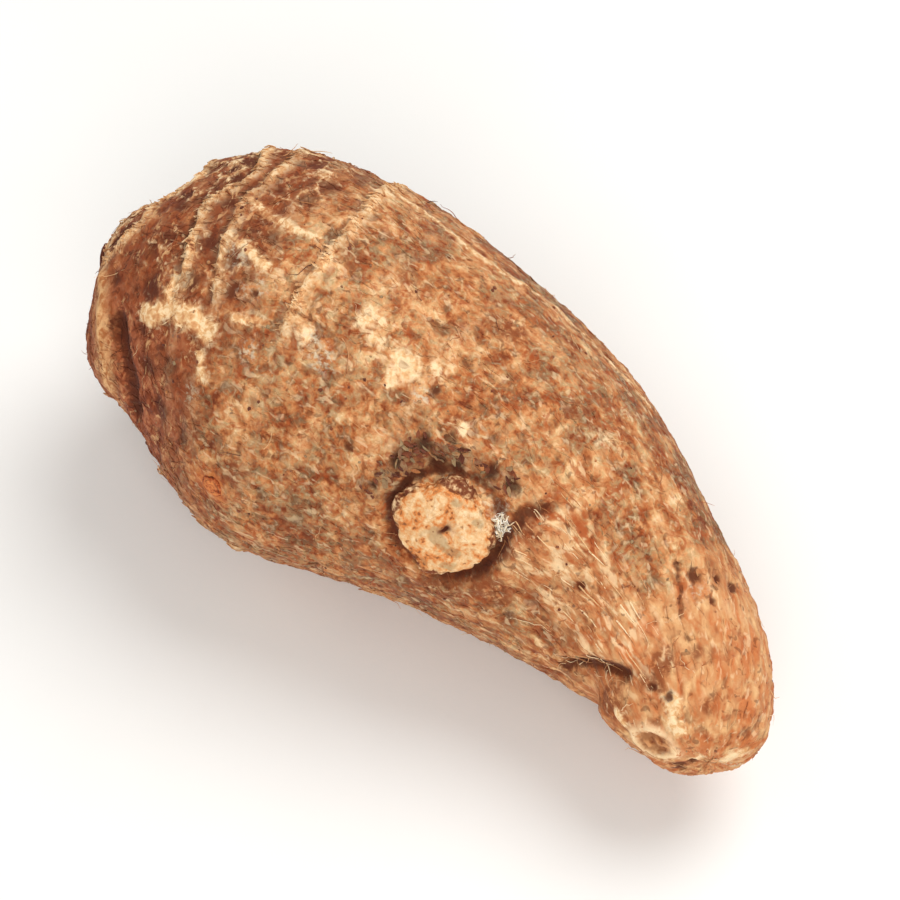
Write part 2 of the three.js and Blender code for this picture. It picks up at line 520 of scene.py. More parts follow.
DARK_CELLS = (
    ((12.4, 124), 1.8), ((11.2, 87), 1.2), ((11.8, 104), 1.3), ((17.5, 85), 1.1), ((18.5, 102), 1.4),
    ((18.3, 117), 1.6), ((24.8, 115), 1.2), ((20.2, 109), 0.8), ((5.9, 126), 0.8), ((26.7, 95), 1.1),
    ((15.5, 152), 1.6), ((20, 146), 1.4), ((19.5, 165), 1.8), ((25.5, 166), 1.4), ((13, 140), 1),
    ((16.8, 132.5), 0.5), ((14.2, 129), 0.4), ((22.5, 133), 0.6),
)


@dataclass
class Skin:
    """The root's skin: a closed grid of rows from crown to neck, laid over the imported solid.

    The rows fan out from one origin inside the crown and from another inside the neck. A bridge
    is the reach of a thing that stands on the skin, and of the ring of skin that the patch under
    it is fitted to, in millimetres, or in radians off the pole for the shoot bud. The methods
    that shape the skin add to `rise`, each point's relief in millimetres, and to the masks, which
    say how strongly each mark holds at every point.
    """

    line: CentreLine
    crown_origin: float = 22.0
    shoulder_end: float = 40.0
    neck_origin: float = 113.0
    crown_rows: int = 88
    shoulder_rows: int = 38
    body_rows: int = 148
    neck_rows: int = 38
    columns: int = 314
    smoothing: int = 14
    mean_radius: float = 25.0
    crown_depth: float = 20.0
    pole_stations: Span = (0.0, 121.0)
    stub_place: Place = (71.5, 143.0)
    stub_bridge: Span = (11.2, 15.5)
    groove_radius: float = 8.3
    collar_radius: float = 10.5
    fluff_place: Place = (78.6, 131.5)
    side_bud_place: Place = (33.5, 174.0)
    side_bud_bridge: Span = (3.4, 6.5)
    shoot_bridge: Span = (0.24, 0.34)
    scar_place: Place = (120.5, 158.5)
    scar_across: Triple = (0.77, 0.64, 0.0)
    scar_radius: float = 2.5
    points: Array = made()
    normals: Array = made()
    station: Array = made()
    bearing: Array = made()
    radius: Array = made()
    reach: Array = made()
    rise: Array = made()
    masks: dict[str, Array] = made(default_factory=dict)
    piece: Object = made()

    # -- laying the grid --

    def _rays(self) -> tuple[Array, Array, Array, Array]:
        """The rays that find the skin.

        Returns:
            Their origins and directions, rows by columns, with the tilt of each row from square
            on, in radians, and each row's station.
        """
        quarter = math.pi / 2
        crown = np.linspace(quarter, 0.0, self.crown_rows + 2)[1:-1]
        neck = np.linspace(0.0, quarter, self.neck_rows + 2)[1:-1]
        shoulder = np.linspace(self.crown_origin, self.shoulder_end, self.shoulder_rows + 1)[:-1]
        body = np.linspace(self.shoulder_end, self.neck_origin, self.body_rows)
        station = np.concatenate([
            np.full(self.crown_rows, self.crown_origin), shoulder, body,
            np.full(self.neck_rows, self.neck_origin),
        ])
        level = np.zeros(self.shoulder_rows + self.body_rows)
        tilt = np.concatenate([-crown, level, neck])
        centre, forward, side, over = self.line.frames(station)
        angle = np.linspace(0.0, 2 * math.pi, self.columns, endpoint=False)
        outward = (
            side[:, None] * np.cos(angle)[None, :, None] + over[:, None] * np.sin(angle)[None, :, None]
        )
        direction = (
            outward * np.cos(tilt)[:, None, None] + forward[:, None] * np.sin(tilt)[:, None, None]
        )
        return np.broadcast_to(centre[:, None], direction.shape), direction, tilt, station

    @staticmethod
    def _distances(origins: Array, directions: Array) -> Array:
        """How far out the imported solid's skin is along each ray.

        Args:
            origins: Where the rays start, in millimetres.
            directions: Where they head.

        Returns:
            The distances, in millimetres.
        """
        solid = bmesh.new()
        solid.from_mesh(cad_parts[NODE].data)
        bmesh.ops.remove_doubles(solid, verts=solid.verts, dist=1e-6)
        tree = BVHTree.FromBMesh(solid)
        solid.free()
        starts = (origins * MM).reshape(-1, 3).tolist()
        heads = directions.reshape(-1, 3).tolist()
        far = [tree.ray_cast(Vector(s), Vector(d))[3] / MM for s, d in zip(starts, heads)]
        return np.array(far).reshape(origins.shape[:2])

    @staticmethod
    def _bridge(
        far: Array, away: Array, inner: float, outer: float, across: tuple[Array, Array]
    ) -> Array:
        """Replaces the skin under a feature by a smooth patch fitted to the skin round it.

        Args:
            far: The distances of the whole grid.
            away: How far each grid point is from the feature's middle.
            inner: The feature's reach.
            outer: How far out the fitted ring goes.
            across: Two coordinates over the patch.

        Returns:
            The distances with the patch in place.
        """
        x, y = across
        terms = np.stack([x**i * y**j for i in range(4) for j in range(4 - i)], axis=-1)
        ring = (away > inner) & (away < outer)
        weights, *_ = np.linalg.lstsq(terms[ring], far[ring], rcond=None)
        share = smoothstep(away, inner + 0.8, inner)
        return far * (1.0 - share) + (terms @ weights) * share

    @staticmethod
    def _soften(grid: Array, passes: int) -> Array:
        """Smooths a grid that closes on itself round the root.

        Args:
            grid: The grid.
            passes: How often it is smoothed.

        Returns:
            The smoothed grid.
        """
        for _ in range(passes):
            grid = (np.roll(grid, 1, axis=1) + 2.0 * grid + np.roll(grid, -1, axis=1)) / 4.0
            padded = np.concatenate([grid[:1], grid, grid[-1:]])
            grid = (padded[:-2] + 2.0 * grid + padded[2:]) / 4.0
        return grid

    def lay(self) -> None:
        """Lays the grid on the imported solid, bridging the stub and the buds."""
        origins, directions, tilt, station = self._rays()
        far = self._distances(origins, directions)
        bearing = np.linspace(0.0, 360.0, self.columns, endpoint=False)
        level = (tilt == 0.0)[:, None]
        bridges = (self.stub_place, self.stub_bridge), (self.side_bud_place, self.side_bud_bridge)
        for (place, heading), (inner, outer) in bridges:
            x = np.broadcast_to((station - place)[:, None], far.shape)
            y = np.broadcast_to(np.radians(turn(bearing, heading)) * self.mean_radius, far.shape)
            away = np.where(level, np.hypot(x, y), FAR)
            far = self._bridge(far, away, inner, outer, (x / outer, y / outer))
        off_pole = (math.pi / 2 + tilt)[:, None]
        angle = np.radians(bearing)[None]
        away = np.where(tilt[:, None] < 0.0, off_pole, FAR) + 0.0 * angle
        across = off_pole * np.cos(angle), off_pole * np.sin(angle)
        far = self._bridge(far, away, *self.shoot_bridge, across)
        far = self._soften(far, self.smoothing)
        grid = origins + directions * far[:, :, None]
        poles = np.stack([grid[0].mean(axis=0), grid[-1].mean(axis=0)])
        self.points = np.concatenate([grid.reshape(-1, 3), poles])
        guess = station + self.crown_depth * np.sin(tilt) * (tilt < 0)
        guess = np.concatenate([np.repeat(guess, self.columns), self.pole_stations])
        self.station, self.bearing, self.radius = self.line.place(self.points, guess)
        legs = np.linalg.norm(np.diff(grid, axis=0), axis=2)
        reach = np.concatenate([np.zeros((1, self.columns)), np.cumsum(legs, axis=0)])
        self.reach = np.concatenate([reach.ravel(), [0.0, reach[-1].mean()]])
        self.normals = self._normals()

    def _normals(self) -> Array:
        """Works out where the skin faces.

        Returns:
            The outward directions of all the skin's points.
        """
        grid = self.points[:-2].reshape(-1, self.columns, 3)
        round_it = np.roll(grid, -1, axis=1) - np.roll(grid, 1, axis=1)
        along = np.gradient(grid, axis=0)
        normals = unit(np.cross(round_it, along))
        ends = unit(np.stack([normals[0].mean(axis=0), normals[-1].mean(axis=0)]))
        return np.concatenate([normals.reshape(-1, 3), ends])

    def _blurred(self, values: Array, passes: int) -> Array:
        """A smoothed copy of one number for each point."""
        grid = self._soften(values[:-2].reshape(-1, self.columns), passes)
        return np.concatenate([grid.ravel(), [grid[0].mean(), grid[-1].mean()]])

    # -- finding places --

    def spot(self, place: Place) -> Array:
        """Finds a place on the skin.

        Args:
            place: Its station and bearing.

        Returns:
            The point there.
        """
        station, bearing = place
        across = np.radians(turn(self.bearing, bearing)) * self.radius
        miss = (self.station - station) ** 2 + across**2
        nearest = np.argsort(miss)[:4]
        weights = 1.0 / (miss[nearest] + NUDGE)
        return (self.points[nearest] * weights[:, None]).sum(axis=0) / weights.sum()

    def seat(self, place: Place, reach: float) -> tuple[Array, Array]:
        """A seat on the skin.

        Args:
            place: Its station and bearing.
            reach: How far round it the slope is taken.

        Returns:
            Its point, and three rows: along the root, across it and outwards.
        """
        point = self.spot(place)
        near = np.linalg.norm(self.points - point, axis=1) < reach
        outward = unit(self.normals[near].mean(axis=0))
        _, forward, _, _ = self.line.frames(np.array([place[0]]))
        along = unit(forward[0] - outward * dot(forward[0], outward))
        return point, np.stack([along, np.cross(outward, along), outward])

    def pole_seat(self) -> tuple[Array, Array]:
        """The seat at the middle of the crown.

        Returns:
            Its point, and three rows: two across the pole and one outwards.
        """
        side, outward = self.line.frames(np.array([0.0]))[2][0], self.normals[-2]
        across = unit(np.cross(outward, side))
        return self.points[-2], np.stack([np.cross(across, outward), across, outward])

    def trace(self, stops: Line) -> tuple[Array, Array, Array]:
        """Measures every point from a line drawn on the skin.

        Args:
            stops: The places that the line runs through.

        Returns:
            The distances from it, how far along it from 0 to 1, and the side, 1 or -1.
        """
        knots = np.array([self.spot(stop) for stop in stops])
        legs = np.linalg.norm(np.diff(knots, axis=0), axis=1)
        starts = np.concatenate([[0.0], np.cumsum(legs)])
        best = np.full(len(self.points), np.inf)
        along, side = np.zeros(len(self.points)), np.ones(len(self.points))
        for index, leg in enumerate(legs):
            head = (knots[index + 1] - knots[index]) / leg
            from_start = self.points - knots[index]
            part = np.clip(from_start @ head, 0.0, leg)
            miss = from_start - part[:, None] * head
            away = np.linalg.norm(miss, axis=1)
            nearer = away < best
            best = np.where(nearer, away, best)
            along = np.where(nearer, (starts[index] + part) / starts[-1], along)
            facing = np.sign(dot(np.cross(head, self.normals), miss))
            side = np.where(nearer, facing, side)
        return best, along, side

    def away_from(self, place: Place) -> Array:
        """How far every point is from a place on the skin."""
        return np.linalg.norm(self.points - self.spot(place), axis=1)

    @property
    def grain(self) -> Array:
        """Coordinates that run round the root and along it, for whatever is drawn out either way."""
        angle = np.radians(self.bearing)
        return np.stack([self.radius * np.cos(angle), self.radius * np.sin(angle), self.reach], axis=1)

    # -- relief --

    def _ragged(self, measure: Array, noise: Noise, *layers: Span) -> Array:
        """Shakes a measure by smooth noise.

        Args:
            measure: A number for every point.
            noise: The noise.
            layers: The amount and size of each layer of it.

        Returns:
            The shaken measure.
        """
        for amount, size in layers:
            measure = measure + amount * noise.smooth(self.points, size)
        return measure

    def _warp(self, first_seed: int, size: float) -> Array:
        """A smooth shake of all three coordinates."""
        seeds = range(first_seed, first_seed + 3)
        return np.stack([Noise(seed).smooth(self.points, size) for seed in seeds], axis=1)

    def _facing(self, bearing: float, low: float, high: float) -> Array:
        """A mark on one side of the root: 0 where the cosine off its bearing is `low`, 1 at `high`."""
        return smoothstep(np.cos(np.radians(self.bearing - bearing)), low, high)

    def _paint_shade(self, share: Array) -> None:
        """Marks painted shade in grooves, cracks and folds, where it is darker than what is marked there."""
        self.masks["gap"] = np.maximum(self.masks["gap"], share)

    def _husk(self) -> None:
        """Lumps, bumps, lengthwise wrinkles, and loose plates that each lie at a slope of their own."""
        broad, small, fine, masks = Noise(1), Noise(2), Noise(3), self.masks
        rise = 0.34 * broad.smooth(self.points, 15.0) + 0.18 * small.layered(self.points, 5.0, 2)
        rise += 0.09 * fine.layered(self.points, 2.1, 2, 0.6)
        wrinkles = small.ridged(self.grain * np.array([1.0, 1.0, 0.2]), 1.6)
        rise += 0.12 * (1.0 - masks["crown"]) * (wrinkles - 0.3)
        rise -= 0.1 * fine.ridged(self.points + 5.0, 3.3) ** 2
        drawn = self.grain * np.array([1.0, 1.0, 0.62]) + 0.55 * self._warp(4, 2.4)
        _, edge, tone, slope = Noise(7).cells(drawn, 2.7)
        _, fine_edge, fine_tone, fine_slope = Noise(8).cells(drawn * [1.0, 1.0, 0.8], 1.35)
        masks["plate"] = 0.62 * tone + 0.38 * fine_tone
        lie = 0.1 * slope + 0.08 * (tone - 0.5) - 0.06 * smoothstep(edge, 0.5, 0.0)
        fine_lie = 0.12 * fine_slope + 0.05 * (fine_tone - 0.5) - 0.03 * smoothstep(fine_edge, 0.3, 0.0)
        plates = (lie + fine_lie) * (1.0 - 0.35 * masks["crown"])
        self.rise += (rise + plates) * (1.0 - 0.5 * masks["smooth"])

    def _ring_offset(self, lip: Lip) -> Array:
        """Measures every point from a sheath's edge.

        Args:
            lip: The edge.

        Returns:
            How far each lies beyond it, in millimetres towards the neck.
        """
        rows = (len(self.points) - 2) // self.columns
        stations = self.station[:-2].reshape(rows, self.columns)
        reach = self.reach[:-2].reshape(rows, self.columns)
        heading = np.linspace(0.0, 360.0, self.columns, endpoint=False)
        edge = np.empty(self.columns)
        for column, wanted in enumerate(lip.stations(heading)):
            rising = np.maximum.accumulate(stations[:, column])
            edge[column] = np.interp(wanted, rising, reach[:, column])
        offset = (reach - edge[None]).ravel()
        return np.concatenate([offset, [-edge.mean(), reach[-1].mean() - edge.mean()]])

    def _sheaths(self) -> None:
        """The torn edges of the leaf sheaths, each with a groove on its crown side painted dark as shade."""
        torn, gap = np.zeros_like(self.rise), np.zeros_like(self.rise)
        rubbed = smoothstep(self.bearing, 112.0, 128.0) * smoothstep(self.bearing, 212.0, 188.0)
        hidden = self._facing(110.0, 0.3, -0.1)
        worn = hidden * np.clip(0.45 + 0.9 * Noise(20).smooth(self.points, 5.0), 0.0, 0.95)
        for lip in LIPS:
            noise = Noise(lip.seed)
            ragged = 0.55 * noise.smooth(self.points, 4.2) + 0.3 * noise.smooth(self.points + 9.0, 1.5)
            offset = self._ring_offset(lip) + ragged
            patchy = 1.0 - 0.75 * lip.torn
            patchy = patchy + (0.2 + 0.6 * lip.torn) * noise.smooth(self.points + 50.0, 8.0)
            patchy += 0.3 * noise.smooth(self.points + 80.0, 2.6)
            whole = np.clip(patchy, 0.0, 1.15) * (1.0 - 0.85 * rubbed) * (1.0 - worn)
            edge = smoothstep(offset, -0.4, 0.1)
            self.rise += lip.rise * whole * edge * np.exp(-np.maximum(offset, 0.0) / 2.0)
            hollow = hump(offset + 0.85, 0.48) * whole
            self.rise -= lip.gap * hollow
            torn = np.maximum(torn, whole * hump(offset - 0.5, 0.8) * min(1.0, 0.4 + lip.rise))
            # The groove's mark, painted dark later as shade.
            gap = np.maximum(gap, hollow * min(1.0, 1.2 * lip.gap**1.4))
        self.masks["torn"] = np.clip(torn, 0.0, 1.0)
        self.masks["gap"] = np.clip(gap, 0.0, 1.0)

    def _smooth_rim(self) -> None:
        """The smooth tan rim at the crown's near side, with a furrow on its neck side painted dark as shade.
        """
        noise = Noise(19)
        away, along, _ = self.trace(RIM)
        rim = hump(self._ragged(away, noise, (0.25, 3.0), (0.15, 1.0)), 1.05)
        rim = rim * smoothstep(along, 0.0, 0.06) * smoothstep(along, 1.0, 0.85)
        self.masks["brim"] = rim
        furrow, dark = self._cut(FURROW, noise)
        # The furrow is painted dark as shade.
        self._paint_shade(0.9 * dark)
        self.rise += 0.6 * rim + furrow

    def _crown_cells(self) -> None:
        """The net of pale veins round sunken brown cells, between the rings of the crown."""
        stretched = self.grain * np.array([0.8, 0.8, 1.0]) + 0.6 * self._warp(24, 2.6)
        _, edge, tone, _ = Noise(22).cells(stretched, 3.4)
        present = smoothstep(Noise(23).smooth(self.points, 9.0), -0.45, 0.15)
        near_side = smoothstep(self.bearing, 122.0, 106.0)
        present *= self.masks["crown"] * near_side * smoothstep(self.bearing, 20.0, 55.0)
        rough = Noise(27).smooth(self.points, 1.3)
        vein = 0.6 * smoothstep(edge + 0.3 * rough, 0.75, 0.25) * present * smoothstep(tone, 0.0, 0.35)
        for stops, width, strength in VEINS:
            away, _, _ = self.trace(stops)
            torn = away + (0.2 + 0.3 * width) * rough + 0.25 * width * Noise(28).smooth(self.points, 3.0)
            stroke = strength * hump(torn, width) * smoothstep(away, 3.0 * width, 2.0 * width)
            vein = np.maximum(vein, stroke)
        known = self._patches(DARK_CELLS, 0.5 * rough, 0.6)
        self.masks["vein"] = vein * (1.0 - 0.85 * known)
        cell = present * (0.25 + 0.75 * tone) * smoothstep(edge + 0.22 * rough, 0.35, 0.95)
        cell = np.maximum(cell * (1.0 - vein), 0.9 * known)
        self.masks["cell"] = cell * (1.0 - self.masks["brim"])
        self.rise += 0.24 * vein - 0.16 * self.masks["cell"] + 0.1 * present

    def _cut(self, cut: Cut, noise: Noise) -> tuple[Array, Array]:
        """One crack or crease.

        Args:
            cut: Its line and sizes.
            noise: What makes it ragged.

        Returns:
            The rise that it makes, and how strongly it is painted dark as shade.
        """
        away, along, side = self.trace(cut.stops)
        ragged = self._ragged(away * side, noise, (0.35, 1.5), (0.4, 4.0))
        fade = smoothstep(along, 0.0, 0.14) * smoothstep(along, 1.0, 0.82)
        near = smoothstep(away, 4.0 * cut.width, 2.0 * cut.width)
        trench = hump(ragged, 0.5 * cut.width) * fade * near
        right = hump(ragged - 1.25 * cut.width, 0.75 * cut.width)
        left = hump(ragged + 1.0 * cut.width, 0.6 * cut.width)
        beside = (cut.edge * right + cut.lip * left) * fade * near
        return beside - cut.depth * trench, trench

    def _stub_seat(self) -> None:
        """The groove round the side stub, the collar outside it, and the crack beneath."""
        noise = Noise(31)
        point, rows = self.seat(self.stub_place, 6.0)
        local = (self.points - point) @ rows.T
        away = self._ragged(np.hypot(local[:, 0], local[:, 1]), noise, (0.45, 3.0), (0.2, 1.2))
        near = local[:, 2] > -12.0
        heading = np.degrees(np.arctan2(local[:, 1], local[:, 0]))
        below = hump(turn(heading, -12.0), 36.0)
        deeper = 0.3 + 0.75 * hump(turn(heading, 170.0), 48.0) + 0.8 * below
        deeper = np.clip(deeper * (1.0 + 0.5 * noise.smooth(self.points, 2.2)), 0.1, 1.2)
        groove = hump(away - self.groove_radius, 0.6 + 0.55 * below) * near
        collar = hump(away - self.collar_radius, 1.3) * near
        rise = -1.1 * deeper * groove
        rise += 0.4 * collar * (1.0 + noise.smooth(self.points, 2.5)) * (1.0 - below)
        # The groove is painted dark as shade, more where it is deeper.
        self._paint_shade(groove * np.clip(deeper, 0.0, 1.0) * (1.0 - 0.25 * below))
        self.masks["stub"] = smoothstep(away, 9.0, 8.0) * near
        change, dark = self._cut(STUB_CRACK, Noise(32))
        # The crack is painted dark as shade.
        self._paint_shade(0.75 * dark)
        rise += change - 0.6 * hump(self.away_from((77.5, 121)), 2.2)
        ridge, _, _ = self.trace(RIDGE)
        self.masks["ridge"] = hump(self._ragged(ridge, noise, (0.9, 2.0)), 1.4)
        self.rise += rise

    def _torn_scale(self) -> None:
        """The dark torn scale on the crown side of the stub, and the white fluff beside it."""
        away, along, _ = self.trace(SCALE)
        noise = Noise(41)
        worn = self._ragged(away, noise, (1.2, 2.6), (0.7, 1.1))
        scale = smoothstep(worn, 2.5, 0.5) * (1.0 - 0.4 * smoothstep(along, 0.5, 0.75))
        scale *= 0.45 + 0.55 * smoothstep(along, 0.0, 0.22)
        self.masks["scale"] = scale
        # Near-black spots: partly the scale's own colour, partly painted shade beside the stub.
        self.masks["dark_spot_and_shade"] = self._patches(DARK_SPOTS_AND_SHADE, 0.6 * noise.smooth(self.points + 9.0, 1.5), 0.6)
        from_fluff = self._ragged(self.away_from(self.fluff_place), noise, (0.5, 1.2))
        self.masks["fluff"] = smoothstep(from_fluff, 1.9, 0.8)
        lumps = 0.25 + 0.45 * noise.layered(self.points, 1.7, 2, 0.7)
        self.rise += scale * lumps - 0.35 * self.masks["dark_spot_and_shade"]

    def _neck(self) -> None:
        """The fold of the neck, and the scar at its end."""
        change, dark = self._cut(NECK_FOLD, Noise(51))
        finer, shade = self._cut(NECK_CREASE, Noise(53))
        change = change + finer
        # The fold and the crease are painted dark as shade.
        self._paint_shade(np.maximum(0.95 * dark, 0.5 * shade))
        noise = Noise(52)
        miss = self.points - self.spot(self.scar_place)
        wide = 0.2 * np.outer(miss @ np.array(self.scar_across), self.scar_across)
        from_scar = np.linalg.norm(miss - wide, axis=1)
        from_scar += 0.4 * noise.smooth(self.points, 3.0) + 0.2 * noise.smooth(self.points, 1.2)
        self.masks["rim"] = hump(from_scar - self.scar_radius, 0.45)
        self.masks["rim"] *= np.clip(0.85 + 0.5 * noise.smooth(self.points + 9.0, 2.6), 0.0, 1.0)
        inside = smoothstep(from_scar, self.scar_radius, self.scar_radius - 0.9)
        self.masks["end"] = inside
        face = smoothstep(self._ragged(self.station, noise, (0.3, 2.4)), 119.0, 120.6)
        round_off = 1.5 * face * smoothstep(self.radius, 9.5, 2.0)
        pithy = 0.25 * noise.layered(self.points, 1.8, 2, 0.6)
        change -= 0.8 * hump(self.away_from((109.6, 139.5)), 1.5)
        self.rise += change + 0.5 * self.masks["rim"] + round_off + inside * (pithy - 0.3)

    def _pits(self) -> None:
        """Small dark pits where roots grew, some in known places and the rest strewn, and spots of painted
        shadow under the tip.
        """
        pit_and_shade = np.zeros(len(self.points))
        for place, size in PITS_AND_SHADE:
            pit_and_shade = np.maximum(pit_and_shade, hump(self.away_from(place), size))
        noise = Noise(62)
        nearest, _, tone, _ = Noise(61).cells(self.points, 9.5)
        nearest, chosen = self._ragged(nearest, noise, (0.35, 1.2)), tone > 0.66
        strewn = hump(nearest, 0.5) * chosen * np.clip(0.7 + noise.smooth(self.points, 3.0), 0.0, 1.0)
        self.masks["pit_and_shade"] = np.maximum(pit_and_shade, strewn * (1.0 - self.masks["stub"]))
        ring = hump(nearest - 1.3, 0.45) * chosen
        self.rise += -0.6 * self.masks["pit_and_shade"] + 0.14 * ring

    def _zones(self) -> None:
        """Marks the broad zones that differ in colour and in how rough they are, and those painted darker as
        shade.
        """
        noise = Noise(71)
        drift = 3.0 * noise.smooth(self.points, 9.0)
        bend = -3.5 * np.cos(np.radians(self.bearing - 150.0))
        self.masks["crown"] = smoothstep(self.station + drift - bend, 36.0, 24.0)
        self.masks["neck"] = smoothstep(self.station + drift, 97.0, 108.0)
        # The underside is painted darker as shade, and carries chestnut streaks of its own.
        self.masks["under"] = self._facing(215.0, 0.1, 0.95) * smoothstep(self.station, 55.0, 85.0)
        # The smooth back is painted darker as shade, against the strong light on top.
        back = hump(turn(self.bearing, 48.0), 22.0) * smoothstep(self.station, 30.0, 48.0)
        self.masks["smooth"] = back * smoothstep(self.station, 112.0, 92.0)
        deep = smoothstep(self.bearing, 112.0, 142.0) * smoothstep(self.bearing, 250.0, 215.0)
        self.masks["deep"] = deep * smoothstep(self.station + 1.3 * drift, 29.0, 18.0)
        # The lower flank is painted darker as shade.
        low = self._facing(190.0, 0.55, 0.95) * smoothstep(self.station, 24.0, 34.0)
        self.masks["low"] = low * smoothstep(self.station, 95.0, 62.0)
        streaky = np.maximum(smoothstep(self.station + drift, 68.0, 90.0), 0.9 * self.masks["smooth"])
        self.masks["streaky"] = np.maximum(streaky, 0.8 * self.masks["under"])
        away, _, _ = self.trace(FAN)
        beyond_stub = smoothstep(self.station, 79.5, 82.5)
        self.masks["fan"] = smoothstep(away + 0.4 * drift, 9.0, 3.0) * beyond_stub

    def _patches(self, spots: Sequence[Spot], ragged: Array, soft: float) -> Array:
        """Marks ragged patches.

        Args:
            spots: Their middles, as places, and their sizes.
            ragged: What shakes their edges.
            soft: How soft their edges are.

        Returns:
            The mark, from 0 to 1.
        """
        mark = np.zeros(len(self.points))
        for place, size in spots:
            mark = np.maximum(mark, smoothstep(self.away_from(place) + ragged, size + soft, size - soft))
        return mark

    def _blemishes(self) -> None:
        """Marks bare cork, brown stains with painted shadow below the stub, grey bloom and the blush round
        the side bud.
        """
        noise = Noise(81)
        ragged = 1.3 * noise.smooth(self.points, 2.6) + 0.9 * noise.smooth(self.points + 7.0, 1.1)
        nearest, _, tone, _ = Noise(82).cells(self.points, 11.0)
        strewn = smoothstep(nearest + ragged, 2.3, 0.3) * (tone > 0.7) * self._facing(110.0, 0.3, -0.1)
        self.masks["bare"] = np.maximum(self._patches(BARE, ragged, 1.4), strewn)
        self.masks["stain_and_shade"] = self._patches(STAINS_AND_SHADE, 1.2 * ragged, 1.2)
        self.masks["bloom"] = self._patches(BLOOM, ragged, 1.2)
        self.masks["blush"] = self._patches(((self.side_bud_place, 2.6),), 0.8 * ragged, 1.6)

    def shape(self) -> None:
        """Gives the smooth skin its relief, and keeps it off the floor."""
        self.rise = np.zeros(len(self.points))
        self._zones()
        self._sheaths()
        self._smooth_rim()
        self._husk()
        self._crown_cells()
        self._stub_seat()
        self._torn_scale()
        self._neck()
        self._pits()
        self._blemishes()
        fine = self.rise - self._blurred(self.rise, 10)
        coarse = self._blurred(self.rise, 4) - self._blurred(self.rise, 60)
        # The relief mark paints shade into hollows and paler tops on what stands up.
        self.masks["relief"] = np.clip(fine / 0.3 + coarse / 0.8, -1.0, 1.0)
        self.points = self.points + self.normals * self.rise[:, None]
        self.points[:, 2] = np.maximum(self.points[:, 2], 0.0)

    def _lying(self) -> None:
        """Marks how thickly each kind of small thing lies."""
        masks, high = self.masks, smoothstep(self.points[:, 2], 1.2, 3.5)
        clear = high * (1.0 - masks["stub"]) * (1.0 - masks["end"]) * smoothstep(self.reach, 3.5, 6.5)
        clear *= smoothstep(self.away_from(self.side_bud_place), 1.8, 3.0) * (1.0 - 0.8 * masks["bare"])
        clear *= (1.0 - 0.9 * masks["brim"]) * (1.0 - 0.7 * masks["vein"])
        patchy = np.clip(0.75 + 0.7 * Noise(91).layered(self.points, 7.0, 2), 0.1, 1.4)
        thick = clear * patchy * (1.0 - 0.6 * masks["smooth"])
        masks["lay_all"] = thick * (1.0 - 0.4 * masks["neck"])
        masks["lay_flakes"] = thick * (1.0 - 0.75 * masks["neck"])
        masks["lay_lips"] = clear * masks["torn"] ** 1.5
        masks["lay_crown"] = clear * masks["crown"]
        masks["lay_scale"] = clear * masks["scale"]
        masks["lay_fluff"] = high * masks["fluff"] ** 1.3
        fold, _, _ = self.trace(FOLD_BED)
        masks["lay_fold"] = clear * hump(fold, 1.8)
        masks["lay_fan"] = clear * masks["fan"]

    def finish(self) -> Object:
        """Makes the mesh with its marks.

        Returns:
            The skin's object.
        """
        self._lying()
        rows = (len(self.points) - 2) // self.columns
        index = np.arange(rows * self.columns).reshape(rows, self.columns)
        after = np.roll(index, -1, axis=1)
        quads = np.stack([index[:-1], after[:-1], after[1:], index[1:]], axis=-1).reshape(-1, 4).tolist()
        first, last = rows * self.columns, rows * self.columns + 1
        quads += [[first, int(b), int(a)] for a, b in zip(index[0], after[0])]
        quads += [[int(a), int(b), last] for a, b in zip(index[-1], after[-1])]
        self.piece = make_piece("root_skin", self.points, quads)
        for name, values in self.masks.items():
            note_mask(self.piece, name, values)
        note_mask(self.piece, "grain", self.grain)
        grid = self.points[:-2].reshape(-1, self.columns, 3)
        along = unit(np.gradient(grid, axis=0)).reshape(-1, 3)
        note_mask(self.piece, "along", np.concatenate([along, along[:1], along[-1:]]))
        return self.piece


# ---- Materials ----


class Hue(Enum):
    """The root's colours."""

    SOOT = tint(30, 13, 7)
    UMBER = tint(88, 37, 15)
    RUST = tint(162, 72, 28)
    CHESTNUT = tint(130, 66, 33)
    CLAY = tint(180, 114, 64)
    TAN = tint(208, 147, 96)
    STRAW = tint(229, 180, 125)
    CREAM = tint(248, 216, 170)
    DUST = tint(155, 132, 95)
    OLIVE = tint(166, 138, 92)
    ROSE = tint(180, 110, 74)
    ORANGE = tint(220, 134, 68)
    TERRACOTTA = tint(202, 118, 66)
    CHALK = tint(250, 242, 224)
    ASH = tint(214, 198, 168)


